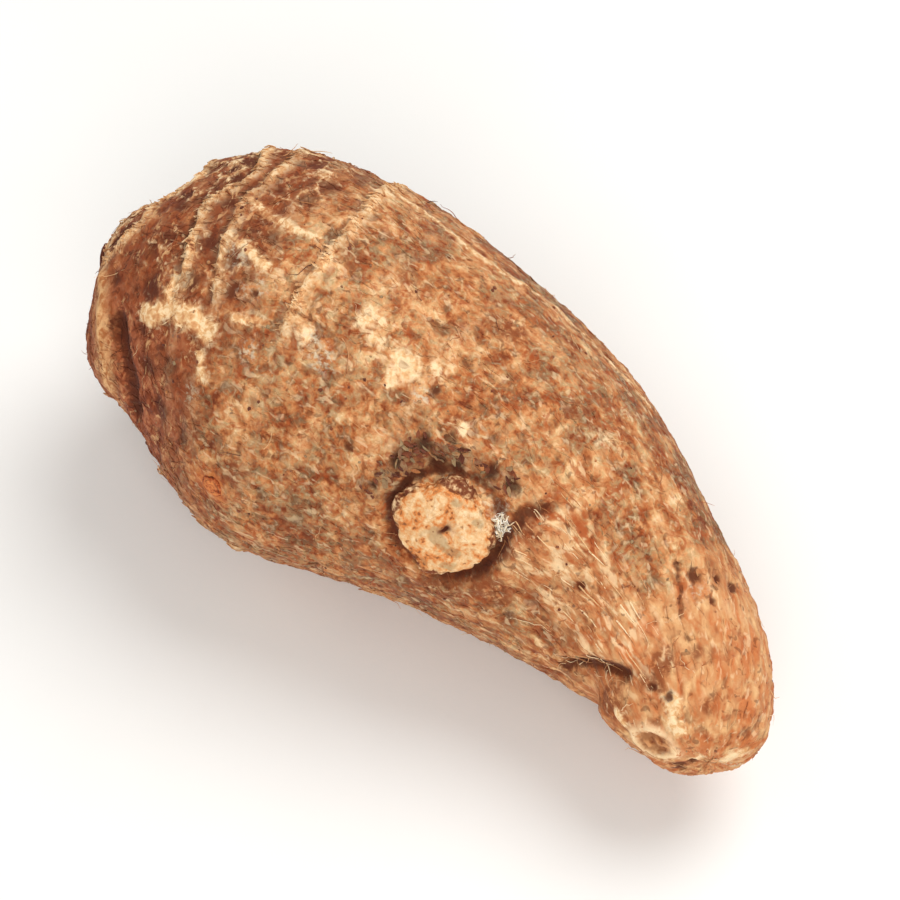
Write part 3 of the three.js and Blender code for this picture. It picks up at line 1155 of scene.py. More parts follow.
class Nodes:
    """Builds a tree of nodes, a node at a time."""

    def __init__(self, tree: bpy.types.NodeTree) -> None:
        """Takes the tree to build in."""
        self.tree = tree

    @staticmethod
    def pick(sockets: Sequence[Socket], name: str) -> Socket:
        """The socket of a name that is in use."""
        return next(s for s in sockets if s.enabled and s.name == name)

    def put(self, socket: Socket, value: object) -> None:
        """Links a socket, or sets it.

        Args:
            socket: The input.
            value: Another socket, a number, a vector or a colour.
        """
        if isinstance(value, Socket):
            self.tree.links.new(value, socket)
        else:
            socket.default_value = value.value if isinstance(value, Hue) else value

    def node(self, kind: str, values: Inputs | None = None, **settings: object) -> Node:
        """Adds a node.

        Args:
            kind: The node's type.
            values: Sockets or values for its inputs, by name or number.
            settings: Its other settings.

        Returns:
            The node.
        """
        node = self.tree.nodes.new(kind)
        for name, value in settings.items():
            setattr(node, name, value)
        for key, value in (values or {}).items():
            self.put(self.pick(node.inputs, key) if isinstance(key, str) else node.inputs[key], value)
        return node

    def out(self, kind: str, name: str, values: Inputs | None = None, **settings: object) -> Socket:
        """Adds a node and gives one of its outputs."""
        return self.pick(self.node(kind, values, **settings).outputs, name)

    def sum(self, operation: str, first: object, second: object = 0.0) -> Socket:
        """A sum of two numbers, such as ADD or POWER."""
        return self.node("ShaderNodeMath", {0: first, 1: second}, operation=operation).outputs[0]

    def product(self, *factors: object) -> object:
        """Numbers multiplied together."""
        return reduce(lambda left, right: self.sum("MULTIPLY", left, right), factors)


class Paint(Nodes):
    """Builds the node tree of one material. Sizes are millimetres."""

    def __init__(self, name: str) -> None:
        """Starts an empty tree.

        Args:
            name: The new material's name.
        """
        self.material = bpy.data.materials.new(name)
        self.material.use_nodes = True
        super().__init__(self.material.node_tree)
        self.tree.nodes.clear()
        values = {0: self.out("ShaderNodeTexCoord", "Object"), "Scale": 1.0 / MM}
        self.spot = self.out("ShaderNodeVectorMath", "Vector", values, operation="SCALE")

    def mark(self, name: str) -> Socket:
        """A number that the mesh holds under a name."""
        return self.out("ShaderNodeAttribute", "Fac", attribute_name=name)

    def drawn(self, scale: Triple) -> Socket:
        """The skin's own coordinates, round and along the root, scaled either way."""
        source = self.out("ShaderNodeAttribute", "Vector", attribute_name="grain")
        return self.out("ShaderNodeMapping", "Vector", {"Vector": source, "Scale": scale})

    def noise(
        self, size: float, detail: float = 3.0, rough: float = 0.55, twist: float = 0.0,
        vector: Socket | None = None,
    ) -> Socket:
        """Smooth noise from 0 to 1, mostly near 0.5.

        Args:
            size: How far apart its lumps are.
            detail: How many finer layers lie on it.
            rough: How strong they are.
            twist: How far it is drawn out of shape.
            vector: The coordinates it is taken at, or the object's own.

        Returns:
            The noise.
        """
        values = {
            "Vector": vector or self.spot, "Scale": 1.0 / size, "Detail": detail, "Roughness": rough,
            "Distortion": twist,
        }
        return self.node("ShaderNodeTexNoise", values).outputs["Fac"]

    def step(self, value: Socket, low: float, high: float) -> Socket:
        """A smooth step from 0 to 1.

        Args:
            value: What is stepped.
            low: Where the step is at 0.
            high: Where it is at 1, which may be the smaller one.

        Returns:
            The step.
        """
        falls = low > high
        values = {
            "Value": value, "From Min": min(low, high), "From Max": max(low, high),
            "To Min": float(falls), "To Max": float(not falls),
        }
        return self.out("ShaderNodeMapRange", "Result", values, interpolation_type="SMOOTHSTEP")

    def total(self, parts: Sequence[tuple[Socket, float]], start: float = 0.0) -> Socket:
        """Adds numbers, each times its weight.

        Args:
            parts: The numbers with their weights.
            start: What they are added to.

        Returns:
            The total.
        """
        result: object = start
        for socket, weight in parts:
            values = {0: socket, 1: weight, 2: result}
            result = self.node("ShaderNodeMath", values, operation="MULTIPLY_ADD").outputs[0]
        return result

    def ramp(self, value: Socket, stops: Sequence[tuple[float, Hue]]) -> Socket:
        """Colours along a scale.

        Args:
            value: The place on it, from 0 to 1.
            stops: The colours with their places, in order.

        Returns:
            The colour.
        """
        node = self.node("ShaderNodeValToRGB", {0: value})
        band = node.color_ramp.elements
        while len(band) < len(stops):
            band.new(0.5)
        for element, (place, colour) in zip(band, stops):
            element.position = place
            element.color = colour.value
        return node.outputs["Color"]

    def coat(self, under: object, colour: object, *shares: object) -> Socket:
        """Lays a colour over another, as thickly as the shares multiplied say."""
        values = {0: self.product(*shares), 6: under, 7: colour}
        return self.node("ShaderNodeMix", values, data_type="RGBA").outputs[2]

    def bump(self, height: Socket, depth: float) -> Socket:
        """Small relief, `depth` millimetres for each 1 of height."""
        values = {"Strength": 1.0, "Distance": depth * MM, "Height": height}
        return self.out("ShaderNodeBump", "Normal", values)

    def close(
        self, colour: Socket, roughness: object, normal: Socket, gloss: float, sheen: float = 0.0
    ) -> Material:
        """Ends the tree in its shader.

        Args:
            colour: The base colour.
            roughness: How rough it is.
            normal: The bumped direction.
            gloss: The specular level.
            sheen: How much fine dust catches the light.

        Returns:
            The material.
        """
        values = {
            "Base Color": colour, "Roughness": roughness, "Normal": normal,
            "Specular IOR Level": gloss, "Sheen Weight": sheen, "Sheen Roughness": DUST_ROUGHNESS,
        }
        shader = self.out("ShaderNodeBsdfPrincipled", "BSDF", values)
        self.node("ShaderNodeOutputMaterial", {"Surface": shader})
        return self.material


@dataclass(frozen=True)
class HuskFinish:
    """The dry brown husk: mottled, streaked along the root and ringed at the crown.

    Loose pieces of it keep the marks of the skin that they lie on, and each has a shade of its
    own, as strong as `own_shade`. `zones` says how much paler or darker each mark makes it; the relief, low,
    under and smooth marks are painted shade.
    """

    name: str = "taro_husk"
    own_shade: float = 0.0
    blotch: float = 3.8
    speckle: float = 1.0
    streak: float = 1.2
    bump_depth: float = 0.33
    paleness: float = -1.125
    # The relief, low, under and smooth marks darken as painted shade.
    zones: tuple[tuple[str, float], ...] = (
        ("plate", 0.16), ("relief", 0.08), ("crown", -0.23), ("streaky", -0.49), ("deep", -0.4),
        ("low", -0.15), ("under", -0.06), ("smooth", -0.16), ("neck", 0.03),
    )
    shades: tuple[tuple[float, Hue], ...] = (
        (0.14, Hue.UMBER), (0.3, Hue.CHESTNUT), (0.45, Hue.CLAY), (0.58, Hue.TAN),
        (0.72, Hue.STRAW), (0.9, Hue.CREAM),
    )

    def _tone(self, p: Paint) -> tuple[Socket, Socket, Socket]:
        """How pale the husk is from place to place.

        Args:
            p: The tree being built.

        Returns:
            The tone, and the speckle and strokes that it is made of.
        """
        crown, streaky = p.mark("crown"), p.mark("streaky")
        plain = p.sum("SUBTRACT", p.sum("SUBTRACT", 1.0, crown), streaky)
        speckle = p.noise(self.speckle, 3.0, 0.6, 0.5)
        hoops = p.noise(self.streak, 3.0, 0.6, 0.6, p.drawn((0.4, 0.4, 1.2)))
        lengthwise = p.noise(self.streak, 2.0, 0.55, 0.5, p.drawn((1.0, 1.0, 0.18)))
        mottled = p.noise(1.4, 3.0, 0.58, 0.8)
        patch = p.noise(4.0, 2.0, 0.5, 0.8, p.drawn((1.0, 1.0, 0.35)))
        drawn = ((hoops, crown), (lengthwise, streaky), (mottled, plain))
        strokes = p.total([(p.product(stroke, place), 1.0) for stroke, place in drawn])
        parts = [
            (p.noise(self.blotch, 3.0, 0.5, 0.8), 1.2), (speckle, 0.38), (strokes, 0.82),
            (p.product(patch, streaky), 1.0), (p.noise(11.0, 2.0), 0.7),
        ]
        parts += [(p.mark(name), weight) for name, weight in self.zones]
        if self.own_shade:
            parts.append((p.mark("shade"), self.own_shade))
        return p.total(parts, self.paleness - 0.5 * self.own_shade), speckle, strokes

    def _weather(self, p: Paint, speckle: Socket, strokes: Socket) -> list[Coat]:
        """The coats that colour whole zones: dust, rust, bark at the crown, cork at the neck.

        Args:
            p: The tree being built.
            speckle: The fine mottling.
            strokes: The drawn mottling.

        Returns:
            Each coat's colour, and the shares that multiply to its thickness.
        """
        crown, neck, deep, fan = p.mark("crown"), p.mark("neck"), p.mark("deep"), p.mark("fan")
        hues = p.ramp(p.noise(1.5, 2.0, 0.5, 1.2), (
            (0.36, Hue.RUST), (0.44, Hue.TERRACOTTA), (0.5, Hue.TAN),
            (0.57, Hue.OLIVE), (0.68, Hue.CREAM),
        ))
        bark = p.ramp(p.noise(2.0, 3.0, 0.6, 0.9, p.drawn((0.7, 0.7, 1.1))), (
            (0.38, Hue.UMBER), (0.48, Hue.CHESTNUT), (0.58, Hue.ROSE), (0.68, Hue.TAN),
        ))
        broad = p.noise(2.0, 2.0, 0.5, 0.8, p.drawn((1.0, 1.0, 0.4)))
        cork = p.ramp(p.total([(strokes, 0.3), (broad, 0.7)]), (
            (0.41, Hue.TERRACOTTA), (0.53, Hue.TAN), (0.66, Hue.STRAW),
            (0.82, Hue.CREAM),
        ))
        dusty = p.step(p.noise(7.0, 2.0), 0.43, 0.57), p.step(p.noise(1.0, 2.0), 0.44, 0.58)
        rusty = p.step(p.noise(2.3, 3.0, 0.6, 1.3), 0.53, 0.62), p.step(p.noise(6.0, 2.0), 0.4, 0.56)
        return [
            (Hue.DUST, *dusty, p.sum("SUBTRACT", 1.0, deep), 0.55),
            (hues, p.total([(crown, -0.16)], 0.3)),
            (Hue.RUST, *rusty, 0.6),
            (Hue.CHESTNUT, crown, p.step(p.noise(2.6, 3.0, 0.6, 0.8), 0.44, 0.57), 0.6),
            (bark, deep, 0.8),
            (cork, neck, 0.8),
            (Hue.RUST, neck, p.step(p.noise(3.2, 2.0, 0.5, 0.8), 0.53, 0.63), 0.36),
            (Hue.RUST, crown, 0.32),
            (cork, fan, 0.5),
            (Hue.RUST, fan, p.step(strokes, 0.47, 0.35), 0.4),
            (Hue.CREAM, fan, p.step(strokes, 0.53, 0.66), 0.55),
            # Chestnut streaks on the underside, which the tone also darkens as painted shade.
            (Hue.CHESTNUT, p.mark("under"), p.step(strokes, 0.6, 0.4), 0.4),
            (Hue.RUST, p.mark("ridge"), p.step(strokes, 0.6, 0.44), 0.8),
            # Brown stains, and painted shadow below the stub.
            (Hue.CHESTNUT, p.mark("stain_and_shade"), p.step(speckle, 0.68, 0.44), 0.85),
        ]

    def _wear(self, p: Paint, speckle: Socket, strokes: Socket) -> list[Coat]:
        """The coats that mark small places: cells, flecks, torn edges, veins and bare cork.

        Args:
            p: The tree being built.
            speckle: The fine mottling.
            strokes: The drawn mottling.

        Returns:
            Each coat's colour, and the shares that multiply to its thickness.
        """
        crown = p.mark("crown")
        flecks = p.step(p.noise(1.1, 1.0, 0.5, 0.6, p.drawn((1.0, 1.0, 0.5))), 0.62, 0.72)
        slivers = p.step(p.noise(1.5, 3.0, 0.6, 0.8, p.drawn((0.6, 0.6, 1.2))), 0.56, 0.66)
        edges = p.ramp(speckle, ((0.36, Hue.TAN), (0.48, Hue.STRAW), (0.6, Hue.CREAM)))
        both = p.total([(strokes, 0.5), (speckle, 0.5)])
        brim = p.ramp(both, ((0.42, Hue.CLAY), (0.56, Hue.STRAW)))
        cork = p.ramp(speckle, ((0.38, Hue.STRAW), (0.56, Hue.CREAM)))
        blush = p.ramp(speckle, ((0.36, Hue.RUST), (0.48, Hue.TERRACOTTA), (0.64, Hue.ORANGE)))
        bare = p.total([(p.mark("bare"), 1.0), (speckle, 0.9), (strokes, 0.9)], -0.9)
        return [
            (Hue.UMBER, p.mark("cell"), 0.95),
            (Hue.CREAM, flecks, p.sum("SUBTRACT", 1.0, crown), 0.4),
            (Hue.STRAW, slivers, crown, p.step(p.noise(5.0, 2.0), 0.4, 0.55), 0.6),
            (Hue.UMBER, p.step(p.noise(1.7, 2.0, 0.5, 0.9), 0.42, 0.33), crown, 0.6),
            (Hue.UMBER, p.step(p.noise(1.3, 1.0, 0.5, 0.6), 0.37, 0.28), 0.5),
            (edges, p.mark("torn"), p.step(speckle, 0.28, 0.42)),
            (edges, p.step(p.total([(p.mark("vein"), 1.0), (speckle, 1.1)], -0.55), 0.1, 0.8)),
            (brim, p.mark("brim")),
            (cork, p.step(bare, 0.15, 1.0)),
            (blush, p.mark("blush"), 0.85),
            (Hue.ASH, p.mark("bloom"), p.step(p.noise(0.8, 3.0, 0.6), 0.46, 0.64), 0.75),
        ]

    def _scars(self, p: Paint, speckle: Socket) -> list[Coat]:
        """The coats of the end scar, the torn scale, the fluff, and the painted shade in all that is hollow.

        Args:
            p: The tree being built.
            speckle: The fine mottling.

        Returns:
            Each coat's colour, and the shares that multiply to its thickness.
        """
        pith = p.ramp(p.noise(1.2, 3.0), (
            (0.36, Hue.CHESTNUT), (0.46, Hue.CLAY), (0.58, Hue.TAN),
        ))
        scaly = p.ramp(speckle, ((0.42, Hue.UMBER), (0.54, Hue.CHESTNUT), (0.68, Hue.DUST)))
        coats: list[Coat] = [
            (Hue.CREAM, p.mark("rim"), p.step(speckle, 0.3, 0.45)),
            (pith, p.mark("end"), 0.85),
            (scaly, p.mark("scale"), 0.75),
            # Near-black spots: partly the scale's own colour, partly painted shade beside the stub.
            (Hue.SOOT, p.mark("dark_spot_and_shade"), 0.8),
            (Hue.CHALK, p.mark("fluff"), p.step(speckle, 0.28, 0.42)),
        ]
        # Pits and grooves painted dark as shade; the pits are partly dark of their own.
        for hollow, black in (("pit_and_shade", 0.12), ("gap", 0.36)):
            ragged = p.total([(p.mark(hollow), 1.0), (speckle, 1.3)], -0.65)
            coats.append((Hue.UMBER, p.step(ragged, 0.16, 0.72), 0.84))
            coats.append((Hue.SOOT, p.step(ragged, 0.55, 1.1), black))
        # Painted shade in the hollows of the relief.
        coats.append((Hue.UMBER, p.step(p.mark("relief"), -0.2, -1.0), 0.45))
        return coats

    def build(self) -> Material:
        """Makes the material.

        Returns:
            The finished material.
        """
        p = Paint(self.name)
        tone, speckle, strokes = self._tone(p)
        colour = p.ramp(tone, self.shades)
        coats = self._weather(p, speckle, strokes) + self._wear(p, speckle, strokes)
        for above, *shares in coats + self._scars(p, speckle):
            colour = p.coat(colour, above, *shares)
        height = p.total([(speckle, 0.45), (strokes, 0.4), (p.noise(0.5, 1.0), 0.1)])
        return p.close(colour, p.total([(speckle, 0.2)], 0.8), p.bump(height, self.bump_depth), 0.2, 0.04)


@dataclass(frozen=True)
class CutFinish:
    """The pale cork of a place where something broke off, veined with orange brown."""

    name: str = "taro_cork"
    vein: float = 1.6

    def build(self) -> Material:
        """Makes the material.

        Returns:
            The finished material.
        """
        p = Paint(self.name)
        blotch, speckle = p.noise(2.6, 3.0, 0.55, 0.8), p.noise(0.8, 2.0, 0.6)
        colour = p.ramp(p.total([(blotch, 0.8), (speckle, 0.8)], -0.32), (
            (0.24, Hue.CLAY), (0.36, Hue.ORANGE), (0.5, Hue.STRAW), (0.74, Hue.CREAM),
        ))
        off_vein = p.sum("ABSOLUTE", p.total([(p.noise(self.vein, 2.0, 0.5, 1.2), 1.0)], -0.5))
        flecked = p.step(speckle, 0.4, 0.56)
        for above, *shares in (
            (Hue.RUST, p.step(off_vein, 0.035, 0.0), flecked, 0.32),
            (Hue.CHESTNUT, p.mark("side"), p.step(speckle, 0.75, 0.4)),
            (Hue.DUST, p.step(p.noise(3.4, 1.0), 0.6, 0.68), 0.5),
            (Hue.RUST, p.mark("halo"), flecked, 0.46),
            # The dark rim, partly painted shade.
            (Hue.UMBER, p.mark("rim"), p.step(speckle, 0.64, 0.4), 0.8),
            (Hue.UMBER, p.step(p.noise(0.8, 1.0), 0.34, 0.28), 0.5),
            (Hue.UMBER, p.mark("slit")),
        ):
            colour = p.coat(colour, above, *shares)
        height = p.total([(blotch, 0.5), (speckle, 0.4)])
        return p.close(colour, p.total([(speckle, 0.2)], 0.7), p.bump(height, 0.35), 0.32)


@dataclass(frozen=True)
class BudFinish:
    """A sleeping bud: orange scales that darken to chestnut at their edges."""

    name: str = "taro_bud"
    paleness: float = -0.3

    def build(self) -> Material:
        """Makes the material.

        Returns:
            The finished material.
        """
        p = Paint(self.name)
        blotch, speckle = p.noise(1.6, 3.0, 0.6, 0.6), p.noise(0.6, 2.0)
        tone = p.total([(blotch, 1.1), (speckle, 0.6), (p.mark("side"), -0.3)], self.paleness)
        scales = p.ramp(tone, (
            (0.2, Hue.UMBER), (0.36, Hue.RUST), (0.52, Hue.TERRACOTTA), (0.68, Hue.ORANGE),
        ))
        height = p.total([(blotch, 0.5), (speckle, 0.5)])
        return p.close(p.coat(scales, Hue.SOOT, p.mark("slit")), 0.8, p.bump(height, 0.3), 0.3)


@dataclass(frozen=True)
class ShredFinish:
    """Dry fibre, flake or crumb: each has its own shade, on a scale of colours."""

    name: str
    stops: tuple[tuple[float, Hue], ...]
    sheen: float = 0.1

    def build(self) -> Material:
        """Makes the material.

        Returns:
            The finished material.
        """
        p = Paint(self.name)
        speckle = p.noise(0.6, 2.0, 0.6)
        colour = p.ramp(p.total([(p.mark("shade"), 1.0), (speckle, 0.5)], -0.25), self.stops)
        return p.close(colour, p.total([(speckle, 0.2)], 0.7), p.bump(speckle, 0.15), 0.28, self.sheen)


# ---- The stub and the buds ----


@dataclass
class Boss:
    """A round form that stands on the skin: rings of points from its middle out and down."""

    name: str
    radius: float
    stands: float
    root: float
    rings: int
    segments: int
    seed: int
    lobed: float = 0.35
    lobe_size: float = 5.0
    squash: float = 1.0
    corners: float = 0.0
    corner_slant: float = 20.0
    rounding: float = 0.9
    shoulder: float = 1.2
    face_share: float = 0.6
    edge_share: float = 0.2

    def _profile(self) -> tuple[Array, Array]:
        """The form's outline, from the middle of its face to its foot.

        Returns:
            The radii and heights of the rings.
        """
        face, edge = int(self.rings * self.face_share), int(self.rings * self.edge_share)
        wall = self.rings - face - edge
        inner, upper = self.radius - self.rounding, self.stands - self.rounding
        flat = np.linspace(0.0, inner, face + 1)[1:]
        corner = np.linspace(0.0, math.pi / 2, edge + 1)[1:]
        down = np.linspace(upper, -self.root, wall + 1)[1:]
        radii = np.concatenate([flat, inner + self.rounding * np.sin(corner), np.full(wall, self.radius)])
        heights = [np.full(face, self.stands), upper + self.rounding * np.cos(corner), down]
        return radii, np.concatenate(heights)

    def relief(self, local: Array, away: Array) -> tuple[Array, dict[str, Array]]:
        """The relief of the form, and its marks.

        Args:
            local: Its points in its own frame.
            away: How far each is from its axis.

        Returns:
            The rise of each point, and the marks by name.
        """
        return np.zeros(len(local)), {}

    def build(self, point: Array, rows: Array, material: Material) -> Object:
        """Makes the piece.

        Args:
            point: Where its seat is.
            rows: The seat's directions: along, across and outwards.
            material: Its finish.

        Returns:
            The object.
        """
        radii, heights = self._profile()
        angle = np.linspace(0.0, 2 * math.pi, self.segments, endpoint=False)
        noise = Noise(self.seed)
        flat_ring = np.stack([np.cos(angle), np.sin(angle), np.zeros_like(angle)], axis=1)
        wobble = 1.0 + self.lobed / self.radius * noise.smooth(flat_ring * self.radius, self.lobe_size)
        wobble += self.corners * np.cos(4.0 * angle - math.radians(self.corner_slant))
        x = radii[:, None] * wobble * np.cos(angle)
        y = radii[:, None] * wobble * np.sin(angle) * self.squash
        z = np.broadcast_to(heights[:, None], x.shape)
        local = np.concatenate([np.stack([x, y, z], axis=-1).reshape(-1, 3), [[0.0, 0.0, self.stands]]])
        away = np.hypot(local[:, 0], local[:, 1] / self.squash)
        rise, marks = self.relief(local, away)
        level = smoothstep(away, self.radius, self.radius - self.shoulder)[:, None]
        outward = unit(np.array([0.0, 0.0, 1.0]) * level + unit(local * [1.0, 1.0, 0.0]) * (1.0 - level))
        local = local + outward * rise[:, None]
        index = np.arange(self.rings * self.segments).reshape(self.rings, self.segments)
        after = np.roll(index, -1, axis=1)
        faces = np.stack([index[:-1], index[1:], after[1:], after[:-1]], axis=-1).reshape(-1, 4).tolist()
        top = self.rings * self.segments
        faces += [[top, int(a), int(b)] for a, b in zip(index[0], after[0])]
        faces.append([int(a) for a in index[-1][::-1]])
        piece = make_piece(self.name, point + local @ rows, faces)
        for name, values in marks.items():
            note_mask(piece, name, values)
        piece.data.materials.append(material)
        log.info("%s: %d triangles", self.name, hand_over(piece))
        return piece


@dataclass
class SideStub(Boss):
    """The round stump of a small side shoot, with a slanted slit in its face."""

    slit_length: float = 0.62
    slit_width: float = 0.3
    slit_slant: float = 60.0
    slit_place: float = 0.5
    slit_depth: float = 0.8
    swell: float = 0.7
    chip_size: float = 2.2
    chip_depth: float = 0.75
    shaded_side: float = 170.0

    def relief(self, local: Array, away: Array) -> tuple[Array, dict[str, Array]]:
        """Swells the face, roughens it, cuts the slit and chips the rim.

        Args:
            local: The stub's points.
            away: How far each is from its axis.

        Returns:
            The rise of each point, and the marks.
        """
        noise = Noise(self.seed + 1)
        slant = math.radians(self.slit_slant)
        along = local[:, 0] * math.cos(slant) + local[:, 1] * math.sin(slant) - self.slit_place
        across = -local[:, 0] * math.sin(slant) + local[:, 1] * math.cos(slant)
        across = across + 0.3 * noise.smooth(local, 1.1)
        slit = hump(along, self.slit_length) * hump(across, self.slit_width)
        halo = hump(along, 1.8 * self.slit_length) * hump(across, 2.4 * self.slit_width)
        on_top = smoothstep(away, self.radius + 0.2, self.radius - 1.0)
        dome = self.swell * (1.0 - (away / self.radius) ** 2)
        lumps = 0.3 * noise.layered(local, 3.2, 3, 0.6) + 0.12 * noise.smooth(local, 0.9)
        edge = hump(away - (self.radius - 1.1), 0.6) * np.clip(noise.smooth(local + 20.0, 2.6), 0.0, 1.0)
        furrows = 0.25 * noise.layered(local * [1.0, 1.0, 0.25], 1.5, 2)
        face = dome + lumps + 0.3 * edge - self.slit_depth * slit
        rise = on_top * face + (1.0 - on_top) * furrows
        chipped = np.clip(noise.layered(local + 40.0, self.chip_size, 3, 0.7), -0.25, 1.0)
        rise -= hump(away - self.radius, self.rounding) * (0.2 + self.chip_depth * chipped)
        heading = np.degrees(np.arctan2(local[:, 1], local[:, 0]))
        shaded = 0.35 + 0.65 * hump(turn(heading, self.shaded_side), 55.0)
        # The dark rim is partly the stub's own colour and partly painted shade, heaviest on the shaded side.
        rim = hump(away - (self.radius + 0.15), 0.4) * shaded
        side = smoothstep(away, self.radius - 0.4, self.radius + 0.2)
        return rise, {"slit": np.clip(slit * 1.5, 0.0, 1.0), "halo": halo, "rim": rim, "side": side}


@dataclass
class SleepingBud(Boss):
    """A low bud of overlapping scales. Its cone and its scales are shares of how far it stands."""

    scales: int = 3
    cone: float = 0.75
    scale_rise: float = 0.16

    def relief(self, local: Array, away: Array) -> tuple[Array, dict[str, Array]]:
        """Turns the flat face into a blunt cone of scales.

        Args:
            local: The bud's points.
            away: How far each is from its axis.

        Returns:
            The rise of each point, and the marks.
        """
        noise = Noise(self.seed + 1)
        part = away / self.radius
        heading = np.arctan2(local[:, 1], local[:, 0])
        wound = (part * self.scales + heading / (2 * math.pi)) % 1.0
        step = smoothstep(wound, 0.0, 0.25) * smoothstep(wound, 1.0, 0.8)
        rise = -self.cone * self.stands * part**2 + self.scale_rise * self.stands * step
        rise += 0.1 * noise.layered(local, 1.4, 2)
        slit = smoothstep(wound, 0.16, 0.02) * smoothstep(part, 0.12, 0.3) * smoothstep(part, 1.1, 0.9)
        return rise, {"slit": 0.8 * slit, "side": smoothstep(part, 0.55, 1.0)}


# ---- Things strewn over the skin by Geometry Nodes ----


class Form(Enum):
    """What a strewn thing looks like."""

    STRAND = "a thin fibre that follows the skin"
    CHIP = "a flat ragged scale"
    CRUMB = "a lump"


class Tree(Nodes):
    """Builds a Geometry Nodes tree with named inputs."""

    def __init__(self, name: str) -> None:
        """Starts a tree.

        Args:
            name: Its name.
        """
        super().__init__(bpy.data.node_groups.new(name, "GeometryNodeTree"))
        for side, label in (("INPUT", "Skin"), ("OUTPUT", "Things")):
            self.tree.interface.new_socket(name=label, in_out=side, socket_type="NodeSocketGeometry")
        self.entry = self.tree.nodes.new("NodeGroupInput")
        self.exit = self.tree.nodes.new("NodeGroupOutput")
        self.skin = self.entry.outputs["Skin"]
        self.settings: dict[str, object] = {}
        self.salts = count(1)

    def size(self, name: str, value: object, kind: str = "NodeSocketFloat") -> Socket:
        """Adds a named input.

        Args:
            name: Its name.
            value: What the modifier sets it to.
            kind: Its kind of socket.

        Returns:
            The socket inside the tree.
        """
        item = self.tree.interface.new_socket(name=name, in_out="INPUT", socket_type=kind)
        self.settings[item.identifier] = value
        return self.entry.outputs[name]

    def vector_sum(self, operation: str, first: object, second: object) -> Socket:
        """A sum of two vectors, or of a vector and a number for SCALE."""
        values = {0: first, "Scale" if operation == "SCALE" else 1: second}
        return self.node("ShaderNodeVectorMath", values, operation=operation).outputs[0]

    def parts(self, vector: Socket) -> tuple[Socket, Socket, Socket]:
        """The three parts of a vector."""
        outputs = self.node("ShaderNodeSeparateXYZ", {"Vector": vector}).outputs
        return outputs[0], outputs[1], outputs[2]

    def vector(self, x: object, y: object, z: object) -> Socket:
        """A vector from its parts."""
        return self.out("ShaderNodeCombineXYZ", "Vector", {"X": x, "Y": y, "Z": z})

    def place(self) -> Socket:
        """Where each point is."""
        return self.out("GeometryNodeInputPosition", "Position")

    def held(self, name: str, kind: str = "FLOAT") -> Socket:
        """A value that the geometry holds under a name."""
        return self.out("GeometryNodeInputNamedAttribute", "Attribute", {"Name": name}, data_type=kind)

    def keep(
        self, geometry: Socket, name: str, value: Socket, domain: str, kind: str = "FLOAT"
    ) -> Socket:
        """Stores a value under a name."""
        values = {"Geometry": geometry, "Name": name, "Value": value}
        return self.out("GeometryNodeStoreNamedAttribute", "Geometry", values, data_type=kind, domain=domain)

    def nearest(self, value: Socket) -> Socket:
        """A vector of the skin, read at the spot nearest to each point."""
        values = {"Mesh": self.skin, "Value": value}
        return self.out("GeometryNodeSampleNearestSurface", "Value", values, data_type="FLOAT_VECTOR")

    def chance(self, seed: Socket, low: float, high: float) -> Socket:
        """A random number for each thing, from a seed of its own."""
        salted = self.sum("ADD", seed, float(next(self.salts)))
        return self.out("FunctionNodeRandomValue", "Value", {"Min": low, "Max": high, "Seed": salted})

    def moved(self, geometry: Socket, **values: object) -> Socket:
        """The geometry with its points moved to a Position or by an Offset."""
        return self.out("GeometryNodeSetPosition", "Geometry", {"Geometry": geometry, **values})


CM2_PER_M2 = 1e4
VARY: Span = (0.35, 1.0)
LENGTHS: Span = (0.45, 1.25)
WIDTHS: Span = (0.5, 1.2)
LUMP_LENGTHS: Span = (0.35, 1.2)
LUMP_WIDTHS: Span = (0.6, 1.0)
LOOSE_SWAY = 0.6
TAPER = 0.75
CHIP_POINT = 2.6
CHIP_BEND = 1.6
CHIP_CURL = 1.2


